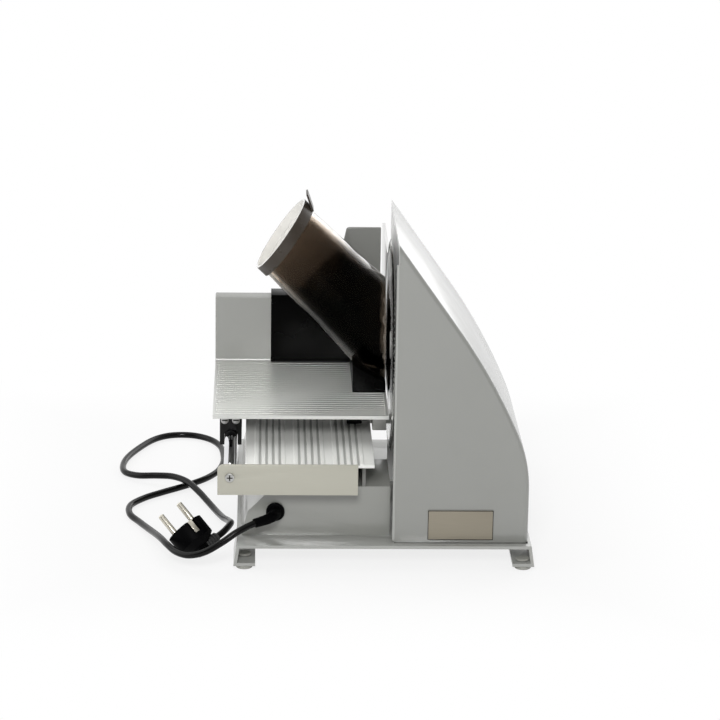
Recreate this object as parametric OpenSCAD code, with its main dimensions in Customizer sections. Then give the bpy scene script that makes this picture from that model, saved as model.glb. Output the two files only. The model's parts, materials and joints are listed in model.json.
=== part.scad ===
// Electric food slicer with a sliding carriage, a feed tube and a worm drive.
// Blade plane at X = 0 before the shift to the origin, +X to the motor, +Y to the user, table at Z = 0.

/* [Base] */
// Base plate edge left of the blade plane
base_left = 120.5; // [118:0.5:140]
// Base plate edge right of the blade plane
base_right = 109; // [108:0.5:130]
// Base plate edge behind the blade axis
base_rear = 112; // [110:0.5:130]
// Base plate edge in front of the blade axis
base_front = 153; // [150:0.5:180]
// Height of the base plate's top face
base_top = 20; // [18:0.5:21]
// Thickness of the folded sheet
sheet_t = 2.5; // [2:0.1:3]
// Length of each folded leg
leg_len = 45; // [35:1:60]
// Width of the flange at the foot of each leg
flange_w = 17; // [15:0.5:22]
// How far each leg leans outward
leg_flare = 2.5; // [0:0.1:4]
// Height of the rubber pads
pad_h = 3; // [2:0.1:5]
// Diameter of the rubber pads
pad_d = 13; // [11:0.5:14]
// Distance of a left pad's stem from the end of its leg
pad_inset_left = 20; // [8:1:25]
// Distance of a right pad's stem from the end of its leg
pad_inset_right = 10; // [8:1:25]

/* [Motor housing] */
// Face of the housing next to the blade
housing_left = 2; // [1.8:0.1:3]
// Right side of the housing
housing_right = 106.5; // [104:0.5:108]
// Rear face of the housing, behind the blade axis
housing_rear = 105; // [104:0.5:109]
// Front face of the housing, in front of the blade axis
housing_front = 45; // [42:0.5:52]
// Height at which the right side starts to curve
side_straight = 62.5; // [55:0.5:68]
// Radius of the lower curve
side_radius_low = 113; // [95:1:125]
// Radius of the upper curve
side_radius_high = 460; // [420:5:520]
// Lean where the lower curve ends
lean_low = 23; // [20:0.5:25]
// Lean of the straight slope at the top
lean_high = 35.5; // [33:0.5:37]
// Wall of the housing
housing_wall = 3; // [2:0.1:4]
// Width of the name plate
plate_w = 51; // [40:1:60]
// Height of the name plate
plate_h = 24; // [15:0.5:30]

/* [Blade drive] */
// Height of the blade axis
axis_z = 150; // [149:0.5:154]
// Blade diameter
blade_d = 170; // [160:1:172]
// Blade thickness
blade_t = 1.2; // [0.8:0.1:1.6]
// Depth of the dish at the middle of the blade
dish = 3.5; // [3:0.1:4]
// Spindle diameter
spindle_d = 12; // [10:0.5:13]
// Teeth on the drive gear
gear_teeth = 40; // [36:2:42]
// Module of the drive gear
gear_module = 1.5; // [1.4:0.05:1.55]
// Width of the drive gear's toothed rim
gear_face = 6; // [5:0.5:7]
// Middle plane of the drive gear
gear_x = 40; // [39.5:0.5:41]
// Pitch radius of the worm
worm_r = 7; // [6.5:0.1:7.5]
// Motor diameter
motor_d = 50; // [46:1:52]
// Motor length
motor_len = 52; // [46:1:54]

/* [Carriage] */
// Left edge of the carriage plate
carriage_left = 140; // [136:0.5:150]
// Rear edge of the carriage plate, behind the blade axis
carriage_rear = 55.5; // [50:0.5:65]
// Front wall of the carriage, in front of the blade axis
carriage_front = 94; // [92:1:100]
// Height of the carriage plate's top face
carriage_top = 108; // [107:0.1:110]
// Thickness of the carriage plate
carriage_t = 3; // [2.5:0.1:3.4]
// Height of the carriage wall
wall_h = 55; // [48:0.5:58]
// Depth of the fold on top of the wall
fold = 14; // [10:0.5:16]
// Spacing of the grooves
groove_pitch = 5.5; // [5:0.5:10]
// Height of the thumb guard above the plate
guard_h = 114; // [100:1:120]
// Width of the thumb guard
guard_w = 29; // [24:1:34]
// Gap between the carriage and the blade plane
blade_gap = 1.5; // [1:0.1:3]

/* [Bed] */
// Height of the bed
bed_top = 83.8; // [82:0.1:85]
// Left edge of the bed
bed_left = 114; // [112:0.5:115]
// Right edge of the bed
bed_right = 14; // [13:0.5:20]
// Front end of the bed
bed_front = 148; // [147.5:0.5:150]
// Height of the lower housing
lower_top = 60.6; // [59:0.1:62]
// Left side of the lower housing at its foot
lower_left = 117; // [116:0.5:118]
// Front face of the lower housing
lower_front = 146; // [144:0.5:147]
// Rear face of the lower housing, behind the blade axis
lower_rear = 88; // [84:0.5:92]
// Wall of the lower housing
lower_wall = 3; // [2:0.1:3.2]
// Diameter of the guide rod
rod_d = 10; // [8:0.5:11]
// Guide rod left of the blade plane
rod_x = 126; // [125:0.5:127]
// Height of the guide rod
rod_z = 74.5; // [73:0.5:76]

/* [Thickness stop] */
// Thickness of the stop plate
stop_t = 2.5; // [2:0.1:3]
// Front edge of the stop plate
stop_front = 165; // [150:1:175]
// Height of the stop plate's top edge
stop_top = 209; // [190:1:215]
// Gap between the blade's rim and the stop plate
rim_gap = 3; // [2:0.1:5]
// Teeth on the knob's pinion
pinion_teeth = 10; // [9:1:10]
// Module of the knob's pinion
pinion_module = 0.9; // [0.85:0.01:0.95]
// Knob diameter
knob_d = 37; // [30:0.5:37.5]
// Knob length
knob_len = 19; // [14:0.5:24]
// Knob left of the blade plane
knob_x = 54; // [53:0.5:56]

/* [Feed attachment] */
// Outer radius of the tube at its mouth
tube_r_top = 31; // [29:0.5:32]
// Outer radius of the tube at the blade
tube_r_end = 35.5; // [33:0.5:36]
// Wall of the tube
tube_wall = 2.2; // [1.8:0.1:3]
// Slope of the tube
tube_slope = 44.5; // [43:0.5:46]
// Middle of the tube in front of the blade axis
tube_y = 50; // [48:0.5:52]
// Length of the pusher inside the tube
pusher_len = 58; // [40:1:66]
// Width of the holder plate
holder_w = 74; // [60:1:80]

/* [Cord] */
// Diameter of the mains cord
cord_d = 5.4; // [5:0.1:6.2]
// Diameter of the plug
plug_d = 31; // [29:0.5:32]

/* [Hidden] */
$fn = 64;

// Clearances and small allowances
fit = 0.2;
run_gap = 0.3;
shaft_gap = 0.1;
cut = 1;
arc_steps = 12;

// Origin at the middle of the footprint
knob_lift = 2;
knob_front = lower_front + knob_lift + knob_len;
front_most = max(base_front, stop_front, knob_front);
leg_out = base_right + leg_flare;
left_most = max(carriage_left, base_left + leg_flare);
origin_x = (left_most - leg_out) / 2;
origin_y = (base_rear - front_most) / 2;

// Colours
grey_paint = [0.58, 0.58, 0.56];
silver = [0.76, 0.76, 0.74];
warm_alu = [0.68, 0.67, 0.62];
chrome = [0.85, 0.85, 0.87];
steel = [0.62, 0.63, 0.64];
black = [0.05, 0.05, 0.05];
dark_grey = [0.25, 0.25, 0.25];
smoke = [0.25, 0.22, 0.18];
brass = [0.75, 0.62, 0.3];
ivory = [0.88, 0.86, 0.78];
green = [0.12, 0.3, 0.14];
guard_grey = [0.4, 0.4, 0.39];
rubber_grey = [0.6, 0.6, 0.57];
copper = [0.72, 0.42, 0.22];

// Screws
screw_d = 4;
screw_head_d = 11;
screw_head_h = 2.2;
boss_d = 10;
boss_h = 13;
screw_grip = 11;

// Helpers that draw along the axes
module place() translate([origin_x, origin_y, 0]) children();
module block(x0, x1, y0, y1, z0, z1) translate([x0, y0, z0]) cube([x1 - x0, y1 - y0, z1 - z0]);
module bar_x(x0, x1, d, y, z) translate([x0, y, z]) rotate([0, 90, 0]) cylinder(d = d, h = x1 - x0);
module bar_y(y0, y1, d, x, z) translate([x, y0, z]) rotate([-90, 0, 0]) cylinder(d = d, h = y1 - y0);
module bar_z(z0, z1, d, x, y) translate([x, y, z0]) cylinder(d = d, h = z1 - z0);
module along_y(y0, y1) translate([0, y1, 0]) rotate([90, 0, 0]) linear_extrude(y1 - y0) children();
module along_x(x0, x1) translate([x0, 0, 0]) rotate([90, 0, 90]) linear_extrude(x1 - x0) children();
function arc(cx, cz, r, a0, a1) =
    [for (i = [0 : arc_steps]) let (a = a0 + (a1 - a0) * i / arc_steps) [cx + r * cos(a), cz + r * sin(a)]];

// Base, legs and feet
leg_inner = base_top - sheet_t;
pad_right_x = base_right + leg_flare - flange_w / 2;
pad_left_x = -(base_left + leg_flare - flange_w / 2);
pad_places = [
    [pad_left_x, -base_rear + pad_inset_left],
    [pad_right_x, -base_rear + pad_inset_right],
    [pad_left_x, base_front - pad_inset_left],
    [pad_right_x, base_front - pad_inset_right]];
stem_d = 6;
bead_d = 11;
bead_h = 1.8;
pad_end = pad_d / 2 + 0.5;

module leg_profile(edge) {
    lean = leg_flare * sheet_t / (base_top - pad_h);
    polygon([[edge, base_top], [edge + leg_flare, pad_h], [edge + leg_flare - flange_w, pad_h],
        [edge + leg_flare - flange_w, pad_h + sheet_t],
        [edge + leg_flare - lean - sheet_t, pad_h + sheet_t],
        [edge + lean - sheet_t, leg_inner], [edge - sheet_t, leg_inner], [edge - sheet_t, base_top]]);
}

// Screws that hold the two housings on the base plate
lower_boss_y = [-lower_rear + lower_wall + 4, lower_front - lower_wall - 4];
motor_boss_y = [-housing_rear + housing_wall + 4, housing_front - housing_wall - 4];
lower_boss_x = [-88, -48];
motor_boss_x = [36, 74];
screw_places = concat(
    [for (x = lower_boss_x) for (y = lower_boss_y) [x, y]],
    [for (x = motor_boss_x) for (y = motor_boss_y) [x, y]]);

module base_plate() color(grey_paint) place() difference() {
    union() {
        block(-base_left, base_right, -base_rear, base_front, leg_inner, base_top);
        for (y = [-base_rear, base_front - leg_len]) {
            along_y(y, y + leg_len) leg_profile(base_right);
            mirror([1, 0, 0]) along_y(y, y + leg_len) leg_profile(base_left);
        }
    }
    for (p = pad_places) bar_z(pad_h - cut, pad_h + sheet_t + cut, stem_d, p[0], p[1]);
    for (p = screw_places) bar_z(leg_inner - cut, base_top + cut, screw_d, p[0], p[1]);
}

// Each pad runs from below its stem to the end of the leg
module rubber_feet() color(rubber_grey) place() for (p = pad_places) {
    end_y = p[1] < 0 ? pad_end - base_rear : base_front - pad_end;
    bar_z(0, pad_h, pad_d, p[0], p[1]);
    bar_z(0, pad_h, pad_d, p[0], end_y);
    block(p[0] - pad_d / 2, p[0] + pad_d / 2, min(p[1], end_y), max(p[1], end_y), 0, pad_h);
    bar_z(0, pad_h + sheet_t + bead_h, stem_d, p[0], p[1]);
    bar_z(pad_h + sheet_t, pad_h + sheet_t + bead_h, bead_d, p[0], p[1]);
}

module base_screws() color(steel) place() for (p = screw_places) {
    bar_z(leg_inner - screw_head_h, leg_inner, screw_head_d, p[0], p[1]);
    bar_z(leg_inner - screw_head_h, base_top + screw_grip, screw_d, p[0], p[1]);
}

module screw_bosses(xs, ys) for (x = xs) for (y = ys) bar_z(base_top, base_top + boss_h, boss_d, x, y);
module screw_bores(xs, ys) for (x = xs) for (y = ys) {
    bar_z(base_top - cut, base_top + screw_grip, screw_d, x, y);
}

// Sail-shaped outline of the motor housing, drawn inwards by w
low_c = [housing_right - side_radius_low, side_straight];
low_end = low_c + side_radius_low * [cos(lean_low), sin(lean_low)];
high_c = low_end - side_radius_high * [cos(lean_low), sin(lean_low)];
function slope_end(w) = high_c + (side_radius_high - w) * [cos(lean_high), sin(lean_high)];
function slope_z(x, w) = slope_end(w)[1] + (slope_end(w)[0] - x) / tan(lean_high);
function sail(w, left, foot) = concat(
    [[left, foot], [housing_right - w, foot]],
    arc(low_c[0], low_c[1], side_radius_low - w, 0, lean_low),
    arc(high_c[0], high_c[1], side_radius_high - w, lean_low, lean_high),
    [[left, slope_z(left, w)]]);
housing_top = slope_z(housing_left, 0);

// Switch in the front face of the motor housing
switch_x = 52;
switch_z = 66;
switch_w = 16;
switch_h = 24;
switch_depth = 18;
bezel_edge = 2.5;
bezel_t = 2;
rocker_w = 12;
rocker_h = 18;
rocker_tilt = 10;
rocker_gap = 0.8;
pocket_depth = 10;
rocker_pin_d = 3;
rocker_pivot_y = housing_front - 3;
rocker_pin_over = 1.3;
rocker_rear = -5;
rocker_rear_half = 2.5;
rocker_face = 6;
rocker_valley = 4.6;
rocker_trim = 1;

module motor_housing() color(grey_paint) place() difference() {
    union() {
        difference() {
            along_y(-housing_rear, housing_front) polygon(sail(0, housing_left, base_top));
            along_y(-housing_rear + housing_wall, housing_front - housing_wall)
                polygon(sail(housing_wall, housing_left - cut, base_top - cut));
        }
        screw_bosses(motor_boss_x, motor_boss_y);
    }
    screw_bores(motor_boss_x, motor_boss_y);
    block(switch_x - switch_w / 2, switch_x + switch_w / 2, housing_front - housing_wall - cut,
        housing_front + cut, switch_z - switch_h / 2, switch_z + switch_h / 2);
}

plate_t = 0.8;
plate_left = 28;
plate_foot = base_top + 3;
module name_plate() color(warm_alu) place()
    block(plate_left, plate_left + plate_w, -housing_rear - plate_t, -housing_rear,
        plate_foot, plate_foot + plate_h);

// Fixed drive pieces behind the blade
bearing_x0 = 9;
bearing_t = 3;
bearing_od = 24;
bearing_w = 7;
boss_wall = 4;
shoulder_d = spindle_d + 4;
plate_face = bearing_x0 + bearing_t;
gear_pitch_r = gear_teeth * gear_module / 2;
worm_z = axis_z - gear_pitch_r - worm_r;
bracket_x0 = gear_x + 10;
bracket_t = 3;
bracket_face = bracket_x0 + bracket_t;
inner_rear = -housing_rear + housing_wall;
inner_front = housing_front - housing_wall;
post_d = 8;
gear_root = gear_pitch_r - 1.3 * gear_module;
gear_tip = gear_pitch_r + 0.8 * gear_module;
post_r = gear_tip + post_d / 2 + 1.5;
post_angles = [40, 140, 205, 335];
post_places = [for (a = post_angles) post_r * [cos(a), sin(a)]];
bracket_half = post_r + post_d / 2;
bracket_up = post_r * sin(post_angles[0]) + post_d / 2 + 1;
bracket_down = post_d / 2 + 8 - post_places[2][1];
shaft_d = 8;
bush_od = 14;
bush_y0 = 19;
bush_len = 8;
motor_back_gap = 4;
motor_rear = inner_rear + motor_back_gap;
motor_front = motor_rear + motor_len;
can_wall = 2.5;
can_end = 3;

module bearing_plate() color(steel) place() difference() {
    union() {
        block(bearing_x0, plate_face, inner_rear + fit, inner_front - fit, base_top,
            slope_z(plate_face, housing_wall) - fit);
        bar_x(plate_face, plate_face + bearing_w + 1, bearing_od + 2 * boss_wall, 0, axis_z);
    }
    bar_x(bearing_x0 - cut, plate_face + cut, shoulder_d, 0, axis_z);
    bar_x(plate_face + 1, plate_face + bearing_w + 1 + cut, bearing_od, 0, axis_z);
}

module bearing(x) difference() {
    bar_x(x, x + bearing_w, bearing_od, 0, axis_z);
    bar_x(x - cut, x + bearing_w + cut, spindle_d + shaft_gap, 0, axis_z);
}
module spindle_bearings() color(chrome) place() {
    bearing(plate_face + 1);
    bearing(bracket_face);
}

module gear_bracket() color(steel) place() difference() {
    union() {
        block(bracket_x0, bracket_face, -bracket_half, bracket_half,
            axis_z - bracket_down, axis_z + bracket_up);
        bar_x(bracket_face, bracket_face + bearing_w + 0.5, bearing_od + 2 * boss_wall, 0, axis_z);
        for (p = post_places) bar_x(plate_face, bracket_x0 + cut, post_d, p[0], axis_z + p[1]);
        block(gear_x - bush_od / 2 - 2, bracket_face, bush_y0, bush_y0 + bush_len,
            worm_z - bush_od / 2 - 2, worm_z + bush_od / 2 + 2);
        block(bracket_x0, bracket_face, bush_y0, bush_y0 + bush_len, worm_z, axis_z);
    }
    bar_x(bracket_x0 - cut, bracket_face + cut, shoulder_d, 0, axis_z);
    bar_x(bracket_face, bracket_face + bearing_w + 1 + cut, bearing_od, 0, axis_z);
    bar_y(bush_y0 - cut, bush_y0 + bush_len + cut, bush_od, gear_x, worm_z);
}

module worm_bush() color(brass) place() difference() {
    bar_y(bush_y0, bush_y0 + bush_len, bush_od, gear_x, worm_z);
    bar_y(bush_y0 - cut, bush_y0 + bush_len + cut, shaft_d + fit, gear_x, worm_z);
}

module motor_can() color(dark_grey) place() difference() {
    bar_y(motor_rear, motor_front, motor_d, gear_x, worm_z);
    bar_y(motor_rear + can_end, motor_front - can_end, motor_d - 2 * can_wall, gear_x, worm_z);
    bar_y(motor_rear - cut, motor_front + cut, shaft_d + fit, gear_x, worm_z);
}

stator_wall = 3;
stator_id = motor_d - 2 * can_wall - 2 * stator_wall;
stator_back_gap = 8;
stator_front_gap = 12;
stator_rear = motor_rear + stator_back_gap;
stator_front = motor_front - stator_front_gap;
module motor_stator() color(copper) place() difference() {
    bar_y(stator_rear, stator_front, motor_d - 2 * can_wall, gear_x, worm_z);
    bar_y(stator_rear - cut, stator_front + cut, stator_id, gear_x, worm_z);
}

clamp_wall = 3;
clamp_strip_t = 5;
clamp_tab = 8;
clamp_strip_half = motor_d / 2 + clamp_tab;
clamp_inset = 14;
clamp_w = 16;
clamp_rear = motor_rear + clamp_inset;
clamp_front = clamp_rear + clamp_w;
module motor_clamp() color(steel) place() difference() {
    union() {
        intersection() {
            bar_y(clamp_rear, clamp_front, motor_d + 2 * clamp_wall, gear_x, worm_z);
            block(plate_face, housing_right, clamp_rear - cut, clamp_front + cut, 0, axis_z);
        }
        block(plate_face, plate_face + clamp_strip_t, clamp_rear, clamp_front,
            worm_z - clamp_strip_half, worm_z + clamp_strip_half);
    }
    bar_y(clamp_rear - cut, clamp_front + cut, motor_d, gear_x, worm_z);
}

capacitor_d = 26;
capacitor_len = 46;
capacitor_at = [80, -50];
module motor_capacitor() color(silver) place()
    bar_z(base_top, base_top + capacitor_len, capacitor_d, capacitor_at[0], capacitor_at[1]);

terminal_x = 20;
terminal_y0 = -72;
terminal_y1 = -58;
terminal_h = 14;
terminal_count = 3;
terminal_pitch = 9;
terminal_hole_d = 4;
module terminal_block() color(ivory) place() difference() {
    block(terminal_x, terminal_x + (terminal_count + 1 / 3) * terminal_pitch, terminal_y0, terminal_y1,
        base_top, base_top + terminal_h);
    for (i = [0 : terminal_count - 1])
        bar_y(terminal_y0 - cut, terminal_y1 + cut, terminal_hole_d,
            terminal_x + (i + 2 / 3) * terminal_pitch, base_top + terminal_h / 2 + 1);
}

// Rocker switch
module switch_body() color(black) place() difference() {
    union() {
        block(switch_x - switch_w / 2, switch_x + switch_w / 2, housing_front - switch_depth, housing_front,
            switch_z - switch_h / 2, switch_z + switch_h / 2);
        block(switch_x - switch_w / 2 - bezel_edge, switch_x + switch_w / 2 + bezel_edge, housing_front,
            housing_front + bezel_t,
            switch_z - switch_h / 2 - bezel_edge, switch_z + switch_h / 2 + bezel_edge);
    }
    block(switch_x - rocker_w / 2 - fit, switch_x + rocker_w / 2 + fit, housing_front - pocket_depth,
        housing_front + bezel_t + cut,
        switch_z - rocker_h / 2 - rocker_gap, switch_z + rocker_h / 2 + rocker_gap);
    bar_x(switch_x - rocker_w / 2 - rocker_pin_over - fit, switch_x + rocker_w / 2 + rocker_pin_over + fit,
        rocker_pin_d + fit, rocker_pivot_y, switch_z);
}

// Rocker seen from its side, with a shallow valley between its two halves
rocker_half = rocker_h / 2 - rocker_trim;
module rocker_outline() polygon([[rocker_rear, -rocker_rear_half], [rocker_rear, rocker_rear_half],
    [0, rocker_half], [rocker_face, rocker_half - fit], [rocker_valley, 0],
    [rocker_face, -rocker_half + fit], [0, -rocker_half]]);
module switch_rocker() color(green) place() translate([0, rocker_pivot_y, switch_z])
    rotate([-rocker_tilt, 0, 0]) {
        along_x(switch_x - rocker_w / 2, switch_x + rocker_w / 2) rocker_outline();
        bar_x(switch_x - rocker_w / 2 - rocker_pin_over, switch_x + rocker_w / 2 + rocker_pin_over,
            rocker_pin_d, 0, 0);
    }

// Lower housing under the bed
knee_x = 112;
knee_z = 40;
step_y = -21;
lower_right = 0.8;
half_turn = tan(22.5);
gland_x = -90.5;
gland_z = base_top + 20;
gland_d = 14.5;
gland_neck_d = 9;
function lower_outline(w, right, foot) = [
    [-lower_left + w, foot],
    [-knee_x + w, knee_z - half_turn * w],
    [-knee_x + (lower_top - knee_z) + half_turn * w, lower_top - w],
    [right - w, lower_top - w],
    [right - w, foot]];

// Slide that carries the stop plate
slide_rod_d = 6;
slide_rod_y = [106, 134];
slide_z = 51.5;
slider_z0 = 46;
slider_z1 = 57;
slider_left = -79;
slider_right = -45;
slider_y0 = 98;
slider_y1 = 142;
lug_left = -89;
lug_right = -82;
arm_y0 = 113;
arm_y1 = 127;
arm_z0 = 47.5;
arm_z1 = 56;
arm_gap = 0.6;
rod_end = -bed_right - lower_wall / 2;

// Rack and pinion under the slide
pinion_pitch = PI * pinion_module;
pinion_r = pinion_teeth * pinion_module / 2;
rack_root = 0.95 * pinion_module;
rack_tip = 0.7 * pinion_module;
rack_pitch_z = slider_z0 - rack_root;
knob_z = rack_pitch_z - pinion_r;
rack_y0 = 129;
rack_y1 = 139;
rack_count = 9;
knob_shaft_d = 5;
knob_hole_d = knob_shaft_d + fit;

module lower_housing() color(grey_paint) place() difference() {
    union() {
        difference() {
            union() {
                along_y(-lower_rear, lower_front) polygon(lower_outline(0, -bed_right, base_top));
                along_y(-lower_rear, step_y) polygon(lower_outline(0, -lower_right, base_top));
            }
            along_y(-lower_rear + lower_wall, lower_front - lower_wall)
                polygon(lower_outline(lower_wall, -bed_right, base_top - cut));
            along_y(-lower_rear + lower_wall, step_y - lower_wall)
                polygon(lower_outline(lower_wall, -lower_right, base_top - cut));
        }
        screw_bosses(lower_boss_x, lower_boss_y);
        block(lug_left, lug_right, slider_y0, slider_y1, slider_z0, lower_top - lower_wall / 2);
    }
    screw_bores(lower_boss_x, lower_boss_y);
    bar_y(-lower_rear - cut, -lower_rear + lower_wall + cut, gland_neck_d, gland_x, gland_z);
    for (y = slide_rod_y) bar_x(lug_left - cut, rod_end, slide_rod_d, y, slide_z);
    block(-bed_right - lower_wall - cut, -bed_right + cut, arm_y0 - arm_gap, arm_y1 + arm_gap,
        arm_z0 - arm_gap, arm_z1 + arm_gap);
    bar_y(lower_front - lower_wall - cut, lower_front + cut, knob_hole_d, -knob_x, knob_z);
}

module stop_guide_rods() color(chrome) place()
    for (y = slide_rod_y) bar_x(lug_left, rod_end, slide_rod_d, y, slide_z);

bracket_y0 = 104;
bracket_y1 = 107;
bracket_w = 16;
bracket_foot = 12;
bracket_foot_t = 3;
module knob_bracket() color(steel) place() difference() {
    union() {
        block(-knob_x - bracket_w / 2, -knob_x + bracket_w / 2, bracket_y0, bracket_y1,
            base_top, slider_z0 - run_gap - rack_root);
        block(-knob_x - bracket_w / 2, -knob_x + bracket_w / 2, bracket_y0, bracket_y1 + bracket_foot,
            base_top, base_top + bracket_foot_t);
    }
    bar_y(bracket_y0 - cut, bracket_y1 + cut, knob_hole_d, -knob_x, knob_z);
}

// Ribbed bed, its end plates and the guide rod
bed_skin = 2.5;
bed_rear = 105.5;
rib_w = 3.2;
rib_h = 1;
rib_pitch = 5.1;
rib_groups = 3;
ribs_in_group = 5;
group_pitch = 30.4;
first_rib = -105;
web_t = 3;
web_in_left = 14;
web_in_right = 6;
end_t = 2.5;
end_left = -135.5;
end_right = -26.8;
end_foot = 60;
end_corner = 5;
end_top = bed_top + 0.8;
rod_screw_d = 4;
rod_screw_head = 7;
rod_screw_h = 2;
rod_screw_grip = 12;

module carriage_bed() color(silver) place() {
    block(-bed_left, -bed_right, -bed_rear, bed_front, bed_top - bed_skin, bed_top);
    for (x = [-bed_left + web_in_left, -(bed_left + bed_right) / 2, -bed_right - web_in_right])
        block(x - web_t, x, -lower_rear, lower_front, lower_top, bed_top);
    for (g = [0 : rib_groups - 1]) for (i = [0 : ribs_in_group - 1])
        translate([first_rib + g * group_pitch + i * rib_pitch - rib_w / 2, -bed_rear, bed_top - 0.1])
            cube([rib_w, bed_rear + bed_front, rib_h + 0.1]);
}

module end_plate(y) difference() {
    union() {
        block(end_left, end_right, y, y + end_t, end_foot, end_top - end_corner);
        block(end_left + end_corner, end_right, y, y + end_t, end_foot, end_top);
        bar_y(y, y + end_t, 2 * end_corner, end_left + end_corner, end_top - end_corner);
    }
    bar_y(y - cut, y + end_t + cut, rod_screw_d, -rod_x, rod_z);
}
module bed_rear_plate() color(warm_alu) place() end_plate(-bed_rear - end_t);
module bed_front_plate() color(warm_alu) place() end_plate(bed_front);

module guide_rod() color(chrome) place() difference() {
    bar_y(-bed_rear, bed_front, rod_d, -rod_x, rod_z);
    bar_y(-bed_rear - cut, -bed_rear + rod_screw_grip, rod_screw_d, -rod_x, rod_z);
    bar_y(bed_front - rod_screw_grip, bed_front + cut, rod_screw_d, -rod_x, rod_z);
}

module rod_screws() color(steel) place() {
    bar_y(-bed_rear - end_t - rod_screw_h, -bed_rear - end_t, rod_screw_head, -rod_x, rod_z);
    bar_y(-bed_rear - end_t - rod_screw_h, -bed_rear + rod_screw_grip - fit, rod_screw_d, -rod_x, rod_z);
    bar_y(bed_front + end_t, bed_front + end_t + rod_screw_h, rod_screw_head, -rod_x, rod_z);
    bar_y(bed_front - rod_screw_grip + fit, bed_front + end_t + rod_screw_h, rod_screw_d, -rod_x, rod_z);
}

// Blade and the pieces that turn with it
dish_r = 28;
dish_run = 10;
bevel_w = 8;
edge_t = 0.15;
hub_flange_d = 40;
hub_flange_t = 3.4;
blade_screw_d = 6;
blade_screw_head = 22;
blade_screw_h = 2.6;
blade_screw_grip = 18;
slot_w = 2.4;
hub_x = dish + blade_t;
nut_w = 19;
nut_t = 5;
spindle_end = bracket_face + bearing_w + nut_t + 1.5;

module blade() color(chrome) place() translate([0, 0, axis_z]) rotate([0, 90, 0]) rotate_extrude($fn = 180)
    polygon([[blade_screw_d / 2, dish], [dish_r, dish], [dish_r + dish_run, 0], [blade_d / 2 - bevel_w, 0],
        [blade_d / 2, blade_t - edge_t], [blade_d / 2, blade_t], [dish_r + dish_run + 0.5, blade_t],
        [dish_r + 0.5, dish + blade_t], [blade_screw_d / 2, dish + blade_t]]);

module blade_screw() color(steel) place() difference() {
    union() {
        bar_x(dish - blade_screw_h, dish, blade_screw_head, 0, axis_z);
        bar_x(dish - blade_screw_h, hub_x + blade_screw_grip, blade_screw_d, 0, axis_z);
    }
    block(dish - blade_screw_h - cut, dish - blade_screw_h / 2, -slot_w / 2, slot_w / 2,
        axis_z - blade_screw_head, axis_z + blade_screw_head);
}

module blade_spindle() color(steel) place() difference() {
    union() {
        bar_x(hub_x, hub_x + hub_flange_t, hub_flange_d, 0, axis_z);
        bar_x(hub_x, spindle_end, spindle_d, 0, axis_z);
    }
    bar_x(hub_x - cut, hub_x + blade_screw_grip, blade_screw_d, 0, axis_z);
}

// Straight teeth drawn as trapezoids, thinner than the pitch so that they run free
function toothed(n, root, tip, half_root, half_tip, turn) =
    [for (i = [0 : n - 1]) let (a = turn + 360 * i / n)
    each [for (q = [[root, -half_root], [tip, -half_tip], [tip, half_tip], [root, half_root]])
        [q[0] * cos(a) - q[1] * sin(a), q[0] * sin(a) + q[1] * cos(a)]]];
tooth_half_root = 0.62 * gear_module;
tooth_half_tip = 0.3 * gear_module;
hub_d = 22;
hub_half = 7;

module drive_gear() color(ivory) place() difference() {
    union() {
        translate([0, 0, axis_z]) along_x(gear_x - gear_face / 2, gear_x + gear_face / 2)
            polygon(toothed(gear_teeth, gear_root, gear_tip, tooth_half_root, tooth_half_tip,
                -90 + 180 / gear_teeth));
        bar_x(gear_x - hub_half, gear_x + hub_half, hub_d, 0, axis_z);
    }
    bar_x(gear_x - hub_half - cut, gear_x + hub_half + cut, spindle_d, 0, axis_z);
}

module spindle_nut() color(steel) place() difference() {
    translate([bracket_face + bearing_w + 1, 0, axis_z]) rotate([0, 90, 0])
        cylinder(d = nut_w, h = nut_t, $fn = 6);
    bar_x(bracket_face, spindle_end + cut, spindle_d, 0, axis_z);
}

// Rotor, worm and fan
rotor_d = stator_id - 1.2;
fan_y0 = stator_front + 1.5;
fan_len = 6;
fan_hub_d = 16;
fan_blades = 9;
fan_blade_t = 1.5;
fan_vane_in = fan_hub_d / 2 - 1;
fan_vane_gap = 0.5;
fan_d = motor_d - 2 * can_wall - 4;
shaft_front = bush_y0 + bush_len;

module rotor_shaft() color(steel) place() bar_y(motor_rear + 0.5, shaft_front, shaft_d, gear_x, worm_z);

module motor_rotor() color(dark_grey) place() difference() {
    bar_y(stator_rear + 1, stator_front - 1, rotor_d, gear_x, worm_z);
    bar_y(stator_rear, stator_front, shaft_d, gear_x, worm_z);
}

module cooling_fan() color(black) place() difference() {
    union() {
        bar_y(fan_y0, fan_y0 + fan_len, fan_hub_d, gear_x, worm_z);
        translate([gear_x, fan_y0, worm_z]) for (i = [0 : fan_blades - 1])
            rotate([0, 360 * i / fan_blades, 0]) translate([fan_vane_in, fan_vane_gap, -fan_blade_t / 2])
                cube([fan_d / 2 - fan_vane_in, fan_len - 2 * fan_vane_gap, fan_blade_t]);
    }
    bar_y(fan_y0 - cut, fan_y0 + fan_len + cut, shaft_d, gear_x, worm_z);
}

// One worm thread swept round the worm axis
worm_lead = PI * gear_module;
worm_root = worm_r - 0.95 * gear_module;
worm_tip = worm_r + 0.8 * gear_module;
worm_half = 14;
thread_steps = 18;
thread_turns = 5;
thread_half_root = 0.6 * gear_module;
thread_half_tip = 0.3 * gear_module;
function thread_section(i) =
    let (a = 360 * i / thread_steps, y = worm_lead * (i / thread_steps - thread_turns / 2))
    [for (q = [[worm_root - 0.5, -thread_half_root], [worm_tip, -thread_half_tip],
        [worm_tip, thread_half_tip], [worm_root - 0.5, thread_half_root]])
        [q[0] * cos(a), q[0] * sin(a), y + q[1]]];
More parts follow.
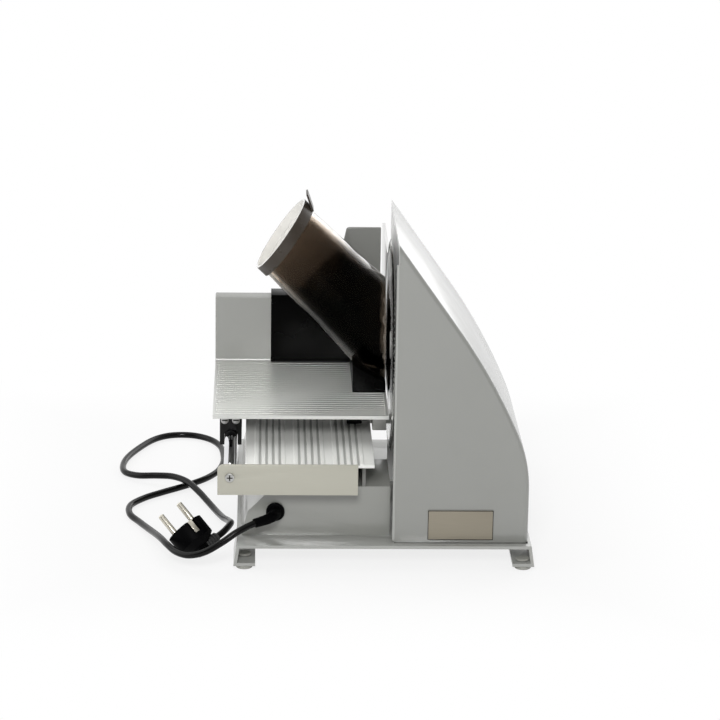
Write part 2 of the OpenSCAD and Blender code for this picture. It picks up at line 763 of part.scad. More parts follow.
// A closed skin through rings of points
module skin(rings) {
    n = len(rings[0]);
    m = len(rings);
    points = [for (ring = rings) each ring];
    sides = [for (i = [0 : m - 2]) for (j = [0 : n - 1]) let (k = (j + 1) % n) each [
        [i * n + j, i * n + k, (i + 1) * n + k], [i * n + j, (i + 1) * n + k, (i + 1) * n + j]]];
    first_cap = [for (j = [1 : n - 2]) [0, j + 1, j]];
    last_cap = [for (j = [1 : n - 2]) [(m - 1) * n, (m - 1) * n + j, (m - 1) * n + j + 1]];
    polyhedron(points, concat(sides, first_cap, last_cap));
}
worm_phase = -90 + 360 * (thread_turns / 2 - floor(thread_turns / 2));

module worm() color(brass) place() difference() {
    union() {
        bar_y(-worm_half, worm_half, 2 * worm_root, gear_x, worm_z);
        translate([gear_x, 0, worm_z]) rotate([-90, 0, 0]) rotate([0, 0, worm_phase])
            skin([for (i = [0 : thread_steps * thread_turns]) thread_section(i)]);
    }
    bar_y(-worm_half - cut, worm_half + cut, shaft_d, gear_x, worm_z);
}

// Carriage on the bed
plate_foot_z = carriage_top - carriage_t;
groove_w = 1.4;
groove_d = 0.5;
groove_count = floor((carriage_rear + carriage_front - 6) / groove_pitch);
wall_t = 3;
rail_w = 11;
rail_h = 9;
rail_right = 3.4;
guard_t = 2.5;
guard_round = 3;
guard_lean = 12;
guard_gap = 2;
guard_right = 3.8;
guard_foot = -guard_right - guard_w - guard_lean;
shoe_y = [[-5, 25], [40, 70]];
shoe_left = rod_x + 9;
shoe_right = rod_x - 8.5;
shoe_foot = 67;
shoe_slot = rod_d + 2 * run_gap;
shoe_screw_z = 88;
shoe_screw_x = [-rod_x - 5, -rod_x + 4];
shoe_screw_d = 3;
shoe_head_d = 6.4;
shoe_head_h = 1.8;
shoe_screw_grip = 10;
glide_inset = 7;
glide_w = 12;

module carriage_plate() color(silver) place() difference() {
    block(-carriage_left, -blade_gap, -carriage_rear, carriage_front, plate_foot_z, carriage_top);
    for (i = [0 : groove_count - 1])
        translate([-carriage_left + 2, -carriage_rear + 4 + i * groove_pitch, carriage_top - groove_d])
            cube([carriage_left - 4 - blade_gap, groove_w, groove_d + cut]);
}

module carriage_wall() color(grey_paint) place() {
    block(-carriage_left, -guard_right, carriage_front, carriage_front + wall_t,
        plate_foot_z, carriage_top + wall_h);
    block(-carriage_left, guard_foot - guard_gap, carriage_front, carriage_front + fold,
        carriage_top + wall_h - wall_t, carriage_top + wall_h);
}

module thumb_guard() color(guard_grey) place() {
    y0 = carriage_front + wall_t;
    left = -guard_right - guard_w;
    top = carriage_top + guard_h;
    along_y(y0, y0 + guard_t) polygon([
        [guard_foot, carriage_top], [guard_foot, carriage_top + wall_h], [left, top - guard_round],
        [left + guard_round, top], [-guard_right, top], [-guard_right, carriage_top]]);
    bar_y(y0, y0 + guard_t, 2 * guard_round, left + guard_round, top - guard_round);
}

module carriage_rail() color(grey_paint) place()
    block(-rail_right - rail_w, -rail_right, -carriage_rear, carriage_front,
        plate_foot_z - rail_h, plate_foot_z);

module carriage_shoes() color(black) place() difference() {
    for (y = shoe_y) block(-shoe_left, -shoe_right, y[0], y[1], shoe_foot, plate_foot_z);
    for (y = shoe_y) {
        bar_y(y[0] - cut, y[1] + cut, shoe_slot, -rod_x, rod_z);
        block(-rod_x - shoe_slot / 2, -rod_x + shoe_slot / 2, y[0] - cut, y[1] + cut, shoe_foot - cut, rod_z);
    }
    for (x = shoe_screw_x)
        bar_y(shoe_y[0][0] - cut, shoe_y[0][0] + shoe_screw_grip, shoe_screw_d, x, shoe_screw_z);
}

module shoe_screws() color(steel) place() for (x = shoe_screw_x) {
    bar_y(shoe_y[0][0] - shoe_head_h, shoe_y[0][0], shoe_head_d, x, shoe_screw_z);
    bar_y(shoe_y[0][0] - shoe_head_h, shoe_y[0][0] + shoe_screw_grip - fit, shoe_screw_d, x, shoe_screw_z);
}

module carriage_glides() color(black) place() for (y = shoe_y)
    block(-bed_right - glide_inset - glide_w, -bed_right - glide_inset, y[0], y[1],
        bed_top + rib_h + run_gap, plate_foot_z);

// Feed attachment that hooks over the carriage wall
holder_left = -94;
holder_t = 3;
holder_gap = 0.3;
holder_face = carriage_front - holder_gap - holder_t;
hook_z = carriage_top + wall_h + holder_gap;
hook_t = 2.3;
hook_lip = 10;
hook_right = guard_foot - 2 * guard_gap;
hook_rear = carriage_front + fold + holder_gap;
foot_left = -28.5;
foot_right = -1.8;
foot_rear = 6;
foot_top = carriage_top + 32;
foot_wall = 7.7;
tube_end_x = -1.8;
mouth = [-79.7, tube_y, carriage_top + 113.7];
mouth_lean = 35;
tube_run = 140;
tube_extra = 20;
reach = 300;
seat_gap = 0.25;
floor_slope = 30.6;
floor_at = [-27.2, carriage_top + 13.4];
holder_foot = carriage_top + holder_gap;

// Points up the slope of the tube, with the middle of the mouth at the origin
module on_axis() translate(mouth) rotate([0, tube_slope - 90, 0]) children();
// Cone of radius grown by extra, running from the mouth towards the blade
module tube_cone(extra, above) {
    gain = (tube_r_end - tube_r_top) / tube_run;
    on_axis() translate([0, 0, -tube_run - tube_extra])
        cylinder(r1 = tube_r_end + gain * tube_extra + extra, r2 = tube_r_top - gain * above + extra,
            h = tube_run + tube_extra + above);
}
// Space above the sloping floor of the tube, lifted by gap
module above_floor(gap) translate([floor_at[0], tube_y - reach / 2, floor_at[1] + gap / cos(floor_slope)])
    rotate([0, floor_slope, 0]) translate([-reach, 0, 0]) cube([2 * reach, reach, reach]);
module below_mouth() translate(mouth) rotate([0, mouth_lean - 90, 0])
    translate([-reach / 2, -reach / 2, -reach]) cube(reach);
// Space left of the blade and above the carriage plate
module beside_blade() block(-reach, tube_end_x, -reach, reach, holder_foot, reach);

module feed_holder() color(black) place() difference() {
    union() {
        block(holder_left, holder_left + holder_w, holder_face, holder_face + holder_t,
            holder_foot, hook_z + hook_t);
        block(holder_left, hook_right, holder_face, hook_rear + holder_t, hook_z, hook_z + hook_t);
        block(holder_left, hook_right, hook_rear, hook_rear + holder_t, hook_z - hook_lip, hook_z + hook_t);
        difference() {
            block(foot_left, foot_right, foot_rear, holder_face + holder_t, holder_foot, foot_top);
            above_floor(foot_wall);
        }
    }
    intersection() {
        tube_cone(seat_gap, tube_extra);
        above_floor(-seat_gap);
    }
}

module feed_tube() color(smoke, 0.6) place() intersection() {
    difference() {
        tube_cone(0, tube_extra);
        tube_cone(-tube_wall, tube_extra + cut);
    }
    below_mouth();
    above_floor(0);
    beside_blade();
}

// Pusher with a flat lid, a rim that stands on the mouth of the tube, and crossed ribs below
pusher_r = tube_r_top - tube_wall - 1.2;
pusher_wall = 2;
pusher_rib = 26;
rim_over = 2.3;
rim_h = 10;
rim_gap_z = 0.3;
rim_ledge = 3;
rim_wall = 2;
tab_t = 1.6;
tab_w = 18;
tab_h = 4.5;
tab_in = 0.9;
tab_lean = 36;
module above_mouth(gap) translate(mouth) rotate([0, mouth_lean - 90, 0])
    translate([-reach / 2, -reach / 2, gap]) cube(reach);
module pusher() color(smoke, 0.6) place() {
    difference() {
        union() {
            on_axis() translate([0, 0, -pusher_len]) cylinder(r = pusher_r, h = pusher_len + 30);
            intersection() {
                on_axis() translate([0, 0, -30]) cylinder(r = tube_r_top + rim_over, h = 70);
                above_mouth(rim_gap_z);
            }
        }
        intersection() {
            on_axis() translate([0, 0, -pusher_len - cut])
                cylinder(r = pusher_r - pusher_wall, h = 2 * pusher_len);
            below_mouth();
        }
        above_mouth(rim_h);
        intersection() {
            on_axis() translate([0, 0, -30]) cylinder(r = tube_r_top + rim_over - rim_wall, h = 90);
            above_mouth(rim_ledge);
        }
    }
    on_axis() for (a = [0, 90]) rotate([0, 0, a])
        translate([-pusher_r + cut, -pusher_wall / 2, -pusher_len])
            cube([2 * pusher_r - 2 * cut, pusher_wall, pusher_rib]);
    translate(mouth) rotate([0, mouth_lean - 90, 0])
        translate([tube_r_top + rim_over - tab_in, -tab_w / 2, 1]) rotate([0, tab_lean, 0])
            cube([tab_t, tab_w, rim_h + tab_h]);
}

// Stop plate and its slide
stop_foot = 84;
stop_rear = 40;
tab_y0 = 108;
tab_y1 = 132;
rim_r = blade_d / 2 + rim_gap;
stop_screw_d = 4;
stop_screw_y = [116, 124];
stop_screw_z = (arm_z0 + arm_z1) / 2;
stop_head_d = 7;
stop_head_h = 2;
stop_screw_grip = 12;

module stop_plate() color(silver) place() difference() {
    union() {
        block(0, stop_t, stop_rear, stop_front, stop_foot, stop_top);
        block(0, stop_t, tab_y0, tab_y1, arm_z0, stop_foot + cut);
    }
    bar_x(-cut, stop_t + cut, 2 * rim_r, 0, axis_z);
    for (y = stop_screw_y) bar_x(-cut, stop_t + cut, stop_screw_d, y, stop_screw_z);
}

rack_half = 0.18 * pinion_pitch;
rack_slope = tan(20);
module rack_tooth(x) polygon([[x - rack_half - rack_root * rack_slope, slider_z0 + 0.1],
    [x - rack_half + rack_tip * rack_slope, rack_pitch_z - rack_tip],
    [x + rack_half - rack_tip * rack_slope, rack_pitch_z - rack_tip],
    [x + rack_half + rack_root * rack_slope, slider_z0 + 0.1]]);

module stop_slider() color(steel) place() difference() {
    union() {
        block(slider_left, slider_right, slider_y0, slider_y1, slider_z0, slider_z1);
        block(slider_right - cut, 0, arm_y0, arm_y1, arm_z0, arm_z1);
        for (i = [0 : rack_count - 1])
            along_y(rack_y0, rack_y1) rack_tooth(-knob_x + pinion_pitch * (0.5 - i));
    }
    for (y = slide_rod_y) bar_x(slider_left - cut, slider_right + cut, slide_rod_d + run_gap, y, slide_z);
    for (y = stop_screw_y) bar_x(-stop_screw_grip, cut, stop_screw_d, y, stop_screw_z);
}

module stop_screws() color(steel) place() for (y = stop_screw_y) {
    bar_x(stop_t, stop_t + stop_head_h, stop_head_d, y, stop_screw_z);
    bar_x(-stop_screw_grip + cut, stop_t + stop_head_h, stop_screw_d, y, stop_screw_z);
}

// Thickness knob
knob_rear = lower_front + knob_lift;
knob_ridges = 24;
ridge_root = 3.2;
ridge_tip = 2;
ridge_half_root = 1.4;
ridge_half_tip = 0.9;
knob_skirt = 4;
shaft_in_knob = 12;
module thickness_knob() color(dark_grey) place() difference() {
    union() {
        bar_y(knob_rear, knob_rear + knob_skirt, knob_d, -knob_x, knob_z);
        translate([-knob_x, knob_rear, knob_z]) rotate([-90, 0, 0]) linear_extrude(knob_len)
            polygon(toothed(knob_ridges, knob_d / 2 - ridge_root, knob_d / 2 - ridge_tip,
                ridge_half_root, ridge_half_tip, 0));
    }
    bar_y(knob_rear - cut, knob_rear + shaft_in_knob, knob_shaft_d, -knob_x, knob_z);
}

module knob_shaft() color(steel) place()
    bar_y(bracket_y0 - 2, knob_rear + shaft_in_knob, knob_shaft_d, -knob_x, knob_z);

module knob_pinion() color(brass) place() difference() {
    translate([-knob_x, rack_y0, knob_z]) rotate([-90, 0, 0]) linear_extrude(rack_y1 - rack_y0)
        polygon(toothed(pinion_teeth, pinion_r - pinion_module, pinion_r + 0.7 * pinion_module,
            0.62 * pinion_module, 0.28 * pinion_module, -90));
    bar_y(rack_y0 - cut, rack_y1 + cut, knob_shaft_d, -knob_x, knob_z);
}

// Gland, boot and cord
gland_t = 3.5;
module cord_gland() color(black) place() {
    bar_y(-lower_rear - gland_t, -lower_rear, gland_d, gland_x, gland_z);
    bar_y(-lower_rear, -lower_rear + lower_wall + 2, gland_neck_d, gland_x, gland_z);
    bar_y(-lower_rear + lower_wall, -lower_rear + lower_wall + 2, gland_d - 2, gland_x, gland_z);
}

// Ring of points of radius r, square to the way the path runs
ring_sides = 10;
function unit(v) = v / norm(v);
function ring(c, dir, r) = let (t = unit(dir), s = unit(cross([0, 0, 1], t)), u = cross(t, s))
    [for (j = [0 : ring_sides - 1]) let (a = 360 * j / ring_sides) c + r * (cos(a) * s + sin(a) * u)];

// Boot that leaves the gland and bends to the left
boot_bend = 18;
boot_turn = 60;
boot_drop = 2;
boot_dip = 0.18;
boot_tail = 8;
boot_steps = 8;
boot_start = [gland_x, -lower_rear - gland_t, gland_z];
function boot_point(f) = let (a = boot_turn * min(f / 0.75, 1), s = boot_tail * max(f - 0.75, 0) / 0.25)
    boot_start + [-boot_bend * (1 - cos(a)) - s * sin(boot_turn),
        -boot_bend * sin(a) - s * cos(boot_turn), -boot_drop * f * f];
function boot_way(f) = let (a = boot_turn * min(f / 0.75, 1)) [-sin(a), -cos(a), -boot_dip * f];
boot_r0 = 4.8;
boot_r1 = 3.6;
module cord_boot() color(black) place()
    skin([for (i = [0 : boot_steps]) let (f = i / boot_steps)
        ring(boot_point(f), boot_way(f), boot_r0 + (boot_r1 - boot_r0) * f)]);
boot_end = boot_point(1);

// Route of the cord, from the boot along the table and back over itself to the plug
cord_route = [
    [-119.5, -117.5, 33.4], [-132, -121, 25.6], [-145, -121.3, 18], [-157.5, -116.5, 13.6],
    [-167.5, -107, 12.9], [-174.5, -93.5, 13.6], [-179.5, -77.5, 12.6], [-184.5, -59, 9.8],
    [-191, -37, 6.2], [-199.5, -13, 3.6], [-208, 7, 3.2], [-208.5, 28, 3.2], [-198, 46.5, 3.2],
    [-183, 61.5, 3.2], [-169, 74, 3.2], [-157, 86, 3.2], [-146, 100, 3.2], [-138, 117, 3.2],
    [-134, 138, 3.2], [-134, 160, 3.2], [-137, 183, 3.2], [-146, 202, 3.2], [-162, 213.5, 3.2],
    [-181, 213, 3.2], [-196, 200, 3.2], [-209, 173, 3.2], [-217, 148, 3.2], [-219, 126, 3.2],
    [-215.5, 109.5, 3.8], [-204.5, 97, 5.6], [-189, 89.5, 8.2], [-175, 82, 9.9], [-163, 69, 9.9],
    [-153, 51, 7.4], [-144.5, 31, 5], [-137.5, 10, 4.6], [-132, -11.5, 7], [-127.3, -33, 12],
    [-126, -56, 17.5]];

// Plug that leans on its back edge, with its pins up and the cord leaving in line with them
plug_face = [-161.5, -77.5, 21.9];
function square_to(v, w) = unit(v - (v * w) * w);
plug_z = unit([-0.63, 0.4, 0.66]);
plug_x = square_to([0.66, 0.64, 0.38], plug_z);
plug_y = cross(plug_z, plug_x);
neck_back = 20.5;
relief_to = 17.5;
relief_end = plug_face - neck_back * plug_z + relief_to * plug_x;
route = concat([boot_end], cord_route, [relief_end]);
last = len(route) - 1;
steps_each = 2;
// Smooth curve through the route, given the way it starts and ends
start_pull = 15;
end_pull = 24;
function ahead(i) = i == 0 ? start_pull * boot_way(1) : i == last ? -end_pull * plug_x
    : (route[i + 1] - route[i - 1]) / 2;
function curve(i, f) = (2 * f * f * f - 3 * f * f + 1) * route[i] + (f * f * f - 2 * f * f + f) * ahead(i)
    + (-2 * f * f * f + 3 * f * f) * route[i + 1] + (f * f * f - f * f) * ahead(i + 1);
function curve_way(i, f) = (6 * f * f - 6 * f) * route[i] + (3 * f * f - 4 * f + 1) * ahead(i)
    + (-6 * f * f + 6 * f) * route[i + 1] + (3 * f * f - 2 * f) * ahead(i + 1);
module power_cord() color(dark_grey) place()
    skin(concat(
        [for (i = [0 : last - 1]) for (k = [0 : steps_each - 1])
            ring(curve(i, k / steps_each), curve_way(i, k / steps_each), cord_d / 2)],
        [ring(relief_end, curve_way(last - 1, 1), cord_d / 2)]));

// Plug pieces, with the middle of the plug's face at the origin and the pins along Z
plug_len = 15;
dome_len = 5;
dome_r = 8;
neck_r = 5.8;
neck_from = -5;
relief_from = 4;
relief_r0 = 5.4;
relief_r1 = 4.2;
pin_d = 4.8;
pin_len = 19;
pin_gap = 19;
pin_root = 8;
clip_w = 4;
clip_t = 1.2;
clip_len = 11;
notch_w = 7;
notch_d = 2.5;
module at_plug()
    multmatrix([for (r = [0 : 2]) [plug_x[r], plug_y[r], plug_z[r], plug_face[r]]]) children();
module along_neck(from) translate([from, 0, -neck_back]) rotate([0, 90, 0]) children();
module plug_dome(gap) translate([0, 0, -plug_len - dome_len - gap])
    cylinder(r1 = dome_r + gap, r2 = plug_d / 2 + gap, h = dome_len + 2 * gap);

module plug_body() color(black) place() at_plug() difference() {
    union() {
        translate([0, 0, -plug_len]) cylinder(d = plug_d, h = plug_len);
        plug_dome(0);
        along_neck(neck_from) cylinder(r = neck_r, h = relief_from - neck_from);
    }
    for (side = [-1, 1]) translate([-notch_w / 2, side * plug_d / 2 - notch_d, -clip_len])
        cube([notch_w, 2 * notch_d, clip_len + cut]);
    for (side = [-1, 1]) translate([side * pin_gap / 2, 0, -pin_root])
        cylinder(d = pin_d, h = pin_root + cut);
}

module plug_pins() color(chrome) place() at_plug() for (side = [-1, 1])
    translate([side * pin_gap / 2, 0, -pin_root]) cylinder(d = pin_d, h = pin_root + pin_len);

module plug_earth_clips() color(chrome) place() at_plug() for (side = [-1, 1])
    translate([-clip_w / 2, side * (plug_d / 2 - notch_d) + (side < 0 ? -clip_t : 0), -clip_len])
        cube([clip_w, clip_t, clip_len]);

module plug_relief() color(dark_grey) place() at_plug() difference() {
    along_neck(relief_from) cylinder(r1 = relief_r0, r2 = relief_r1, h = relief_to - relief_from);
    plug_dome(fit);
}

base_plate();
rubber_feet();
base_screws();
motor_housing();
name_plate();
bearing_plate();
spindle_bearings();
gear_bracket();
worm_bush();
motor_can();
motor_stator();
motor_clamp();
motor_capacitor();
terminal_block();
switch_body();
switch_rocker();
lower_housing();
carriage_bed();
bed_rear_plate();
bed_front_plate();
guide_rod();
rod_screws();
stop_guide_rods();
knob_bracket();
blade();
blade_screw();
blade_spindle();
drive_gear();
spindle_nut();
motor_rotor();
rotor_shaft();
worm();
cooling_fan();
carriage_plate();
carriage_wall();
thumb_guard();
carriage_rail();
carriage_shoes();
shoe_screws();
carriage_glides();
feed_holder();
feed_tube();
pusher();
stop_plate();
stop_slider();
stop_screws();
thickness_knob();
knob_shaft();
knob_pinion();
cord_gland();
cord_boot();
power_cord();
plug_body();
plug_relief();
plug_pins();
plug_earth_clips();
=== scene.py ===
import bpy
import bmesh
import json
import math
from mathutils import Matrix, Vector

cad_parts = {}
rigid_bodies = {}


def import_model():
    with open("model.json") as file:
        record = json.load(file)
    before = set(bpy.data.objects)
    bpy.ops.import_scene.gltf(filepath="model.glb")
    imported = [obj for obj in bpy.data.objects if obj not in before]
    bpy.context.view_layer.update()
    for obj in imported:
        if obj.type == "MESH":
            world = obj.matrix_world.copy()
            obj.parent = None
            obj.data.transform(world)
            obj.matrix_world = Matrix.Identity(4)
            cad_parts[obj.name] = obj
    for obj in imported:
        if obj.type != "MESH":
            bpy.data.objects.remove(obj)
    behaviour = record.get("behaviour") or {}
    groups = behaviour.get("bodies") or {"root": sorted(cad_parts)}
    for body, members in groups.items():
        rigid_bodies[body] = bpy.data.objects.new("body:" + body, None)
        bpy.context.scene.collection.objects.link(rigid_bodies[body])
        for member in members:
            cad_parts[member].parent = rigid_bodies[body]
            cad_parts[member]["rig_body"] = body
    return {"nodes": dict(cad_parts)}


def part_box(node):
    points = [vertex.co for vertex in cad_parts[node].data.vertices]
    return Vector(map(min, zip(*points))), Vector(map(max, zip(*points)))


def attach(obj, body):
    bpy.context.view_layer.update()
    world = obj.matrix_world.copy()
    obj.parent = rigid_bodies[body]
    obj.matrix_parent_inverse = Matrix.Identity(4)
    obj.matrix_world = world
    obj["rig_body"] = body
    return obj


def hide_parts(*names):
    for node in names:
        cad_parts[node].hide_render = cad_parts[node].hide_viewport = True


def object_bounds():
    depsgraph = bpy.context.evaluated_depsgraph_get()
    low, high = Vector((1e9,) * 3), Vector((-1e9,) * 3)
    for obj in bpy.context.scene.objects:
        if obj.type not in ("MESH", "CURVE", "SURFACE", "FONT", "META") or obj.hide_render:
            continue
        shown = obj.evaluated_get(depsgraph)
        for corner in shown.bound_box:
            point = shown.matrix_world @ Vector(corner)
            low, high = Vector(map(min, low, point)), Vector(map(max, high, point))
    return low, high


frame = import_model()
cad_low, cad_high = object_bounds()
nodes = frame["nodes"]
scene = bpy.context.scene
scene.view_settings.view_transform = "Standard"

# Units and the shift from the blade axis to the origin
MM = 0.001
SHIFT = Vector((14.25, -27.5, 0.0))
AXIS_Z = 150.0


def at(x, y, z):
    """A point given in millimetres from the blade axis, as metres in the frame."""
    return (Vector((x, y, z)) + SHIFT) * MM


# Camera at the photograph's viewing angle
CAMERA_AT = (-104.7, -2330.5, 836.0)
CAMERA_YAW = math.radians(2.008)
CAMERA_PITCH = math.radians(16.682)
CAMERA_ROLL = math.radians(-0.879)
FOCAL_PIXELS = 3040.0
FRAME_PIXELS = 720.0
SENSOR_MM = 36.0


def make_camera():
    """The camera that was fitted to the photograph's edges."""
    ahead = Vector((
        math.sin(CAMERA_YAW) * math.cos(CAMERA_PITCH),
        math.cos(CAMERA_YAW) * math.cos(CAMERA_PITCH),
        -math.sin(CAMERA_PITCH)))
    level = Vector((math.cos(CAMERA_YAW), -math.sin(CAMERA_YAW), 0.0))
    above = level.cross(ahead)
    right = math.cos(CAMERA_ROLL) * level - math.sin(CAMERA_ROLL) * above
    up = math.sin(CAMERA_ROLL) * level + math.cos(CAMERA_ROLL) * above
    data = bpy.data.cameras.new("camera")
    data.sensor_fit = "HORIZONTAL"
    data.sensor_width = SENSOR_MM
    data.lens = SENSOR_MM * FOCAL_PIXELS / FRAME_PIXELS
    data.clip_start = 0.05
    data.clip_end = 60.0
    camera = bpy.data.objects.new("camera", data)
    scene.collection.objects.link(camera)
    turn = Matrix((right, up, -ahead)).transposed().to_4x4()
    camera.matrix_world = Matrix.Translation(at(*CAMERA_AT)) @ turn
    scene.camera = camera


make_camera()


# Nodes that the materials, the floor and the world share
def math_node(tree, operation, a, b):
    """A maths node whose inputs are sockets or plain numbers."""
    n = tree.nodes.new("ShaderNodeMath")
    n.operation = operation
    for socket, value in zip(n.inputs, (a, b)):
        if isinstance(value, (int, float)):
            socket.default_value = value
        else:
            tree.links.new(value, socket)
    return n.outputs["Value"]


def range_node(tree, value, low, high, out_low, out_high, kind="LINEAR"):
    """A node that takes value from one range to another."""
    n = tree.nodes.new("ShaderNodeMapRange")
    n.interpolation_type = kind
    n.inputs["From Min"].default_value = low
    n.inputs["From Max"].default_value = high
    n.inputs["To Min"].default_value = out_low
    n.inputs["To Max"].default_value = out_high
    tree.links.new(value, n.inputs["Value"])
    return n.outputs["Result"]


# Materials; each call names the record's slot that it finishes, which Paint does not use
NOISE_LOW = 0.3
NOISE_HIGH = 0.7


class Paint:
    """A Principled material with helpers that add procedural detail."""

    def __init__(self, name, slot, color, rough, metal=0.0, **sockets):
        self.mat = bpy.data.materials.new(name)
        self.mat.use_nodes = True
        self.tree = self.mat.node_tree
        self.shader = self.tree.nodes["Principled BSDF"]
        self.color = color
        self.rough = rough
        self.set("Base Color", (*color, 1.0))
        self.set("Roughness", rough)
        self.set("Metallic", metal)
        for key, value in sockets.items():
            self.set(key.replace("_", " "), value)

    def set(self, socket, value):
        self.shader.inputs[socket].default_value = value

    def node(self, kind, **values):
        n = self.tree.nodes.new(kind)
        for key, value in values.items():
            n.inputs[key].default_value = value
        return n

    def link(self, a, b):
        self.tree.links.new(a, b)

    def where(self, stretch):
        """Object coordinates in metres, stretched along the axes."""
        coords = self.tree.nodes.new("ShaderNodeTexCoord")
        mapping = self.node("ShaderNodeMapping", Scale=stretch)
        self.link(coords.outputs["Object"], mapping.inputs["Vector"])
        return mapping.outputs["Vector"]

    def noise(self, scale, detail, stretch=(1, 1, 1)):
        n = self.node("ShaderNodeTexNoise", Scale=scale, Detail=detail, Roughness=0.5)
        self.link(self.where(stretch), n.inputs["Vector"])
        return n.outputs["Fac"]

    def mix_color(self, factor, one, two):
        """Base colour that runs from one colour to another as factor runs from 0 to 1."""
        mix = self.tree.nodes.new("ShaderNodeMix")
        mix.data_type = "RGBA"
        mix.inputs["A"].default_value = (*one, 1.0)
        mix.inputs["B"].default_value = (*two, 1.0)
        self.link(factor, mix.inputs["Factor"])
        self.link(mix.outputs["Result"], self.shader.inputs["Base Color"])

    def vary_color(self, value, spread):
        """Colour that runs from darker to lighter by spread as value runs over its middle range."""
        darker = [c * (1 - spread) for c in self.color]
        lighter = [min(1.0, c * (1 + spread)) for c in self.color]
        self.mix_color(range_node(self.tree, value, NOISE_LOW, NOISE_HIGH, 0.0, 1.0), darker, lighter)

    def vary_rough(self, value, spread):
        """Roughness that varies by spread as value runs over its middle range."""
        low = self.rough - spread
        high = self.rough + spread
        result = range_node(self.tree, value, NOISE_LOW, NOISE_HIGH, low, high)
        self.link(result, self.shader.inputs["Roughness"])

    def fade_color(self, axis, start, end, far_color):
        """Colour that runs to far_color between two distances in metres along an axis."""
        coords = self.tree.nodes.new("ShaderNodeTexCoord")
        along = self.tree.nodes.new("ShaderNodeVectorMath")
        along.operation = "DOT_PRODUCT"
        along.inputs[1].default_value = axis
        self.link(coords.outputs["Object"], along.inputs[0])
        run = range_node(self.tree, along.outputs["Value"], start, end, 0.0, 1.0)
        self.mix_color(run, self.color, far_color)

    def bump(self, value, height_mm, strength):
        """Relief of a height in millimetres."""
        b = self.node("ShaderNodeBump", Strength=strength, Distance=height_mm * MM)
        self.link(value, b.inputs["Height"])
        self.link(b.outputs["Normal"], self.shader.inputs["Normal"])


def enamel(name, slot, color, rough=0.5, coat=1.0):
    """Stove enamel with a smooth glossy skin."""
    p = Paint(name, slot, color, rough, Coat_Weight=coat, Coat_Roughness=0.2, Coat_IOR=1.7,
              Specular_IOR_Level=0.4)
    p.vary_color(p.noise(14, 4), 0.02)
    p.vary_rough(p.noise(60, 3), 0.05)
    p.bump(p.noise(500, 2), 0.01, 0.015)
    return p.mat


def satin(name, slot, color, rough, stretch, spread=0.03, metal=0.2):
    """Anodised metal with fine lines along the short axis of stretch."""
    p = Paint(name, slot, color, rough, metal=metal)
    lines = p.noise(3500, 3, stretch)
    p.vary_color(lines, spread)
    p.vary_rough(lines, 0.03)
    p.bump(lines, 0.003, 0.05)
    return p.mat


def moulded(name, slot, color, rough=0.45, grain=0.25, level=0.3):
    """Moulded plastic or rubber with a fine spark-eroded grain."""
    p = Paint(name, slot, color, rough, Specular_IOR_Level=level)
    p.vary_color(p.noise(30, 3), 0.12)
    p.vary_rough(p.noise(90, 3), 0.06)
    p.bump(p.noise(2200, 2), 0.04, grain)
    return p.mat


def polished(name, slot, color, rough=0.12):
    """Polished metal with faint wear."""
    p = Paint(name, slot, color, rough, metal=1.0)
    wear = p.noise(45, 5)
    p.vary_color(wear, 0.05)
    p.vary_rough(wear, 0.04)
    p.bump(p.noise(700, 2), 0.004, 0.15)
    return p.mat


# The feed tube's slope, from its mouth down to the blade
MOUTH = at(-79.7, 50.0, 221.7)
TUBE_DOWN = Vector((0.71325, 0.0, -0.70091))
SHADE_RUN = 0.055
GLOSS_RUN = 0.35


def smoke(name, slot, color, ior, coat_from, shade_color=None):
    """Clear tinted plastic with more gloss at its edges; where a second colour is given, its colour darkens
    down the tube as painted shade.
    """
    p = Paint(name, slot, color, 0.15, Transmission_Weight=1.0, IOR=ior, Coat_IOR=2.0, Coat_Roughness=0.02)
    if shade_color:
        start = MOUTH.dot(TUBE_DOWN)
        p.fade_color(TUBE_DOWN, start, start + SHADE_RUN, shade_color)
    else:
        p.vary_color(p.noise(9, 2), 0.06)
    facing = p.tree.nodes.new("ShaderNodeLayerWeight").outputs["Facing"]
    gloss = range_node(p.tree, facing, coat_from, coat_from + GLOSS_RUN, 0.0, 1.0)
    p.link(gloss, p.shader.inputs["Coat Weight"])
    return p.mat


def pale_glossy(name, slot, color, rough):
    """Pale plastic with a glossy skin; the pale colour is a painted reflection."""
    p = Paint(name, slot, color, rough, Coat_Weight=1.0, Coat_Roughness=0.05)
    p.vary_color(p.noise(25, 3), 0.03)
    p.vary_rough(p.noise(80, 3), 0.04)
    p.bump(p.noise(900, 2), 0.01, 0.05)
    return p.mat


GREY_PAINT = enamel("grey_paint", "grey_paint", (0.25, 0.254, 0.237))
GREY_LOW = enamel("grey_paint_low", "grey_paint", (0.262, 0.266, 0.245))
# Lighter copy of the grey paint as painted light: on the base plate for its brightly lit top, and on the
# housing trim as a painted highlight
GREY_BASE_LIT = enamel("grey_paint_base_lit", "grey_paint", (0.335, 0.34, 0.32))
GREY_WALL = enamel("grey_wall", "grey_paint", (0.32, 0.323, 0.305), 0.5, 0.3)
GUARD = enamel("guard_grey", "guard_grey", (0.23, 0.233, 0.217), 0.5, 0.3)
SILVER_X = satin("silver_along_x", "silver", (0.72, 0.725, 0.7), 0.33, (0.02, 1, 1), 0.01, 0.77)
SILVER_Y = satin("silver_along_y", "silver", (0.8, 0.805, 0.775), 0.42, (1, 0.02, 1), 0.02, 0.2)
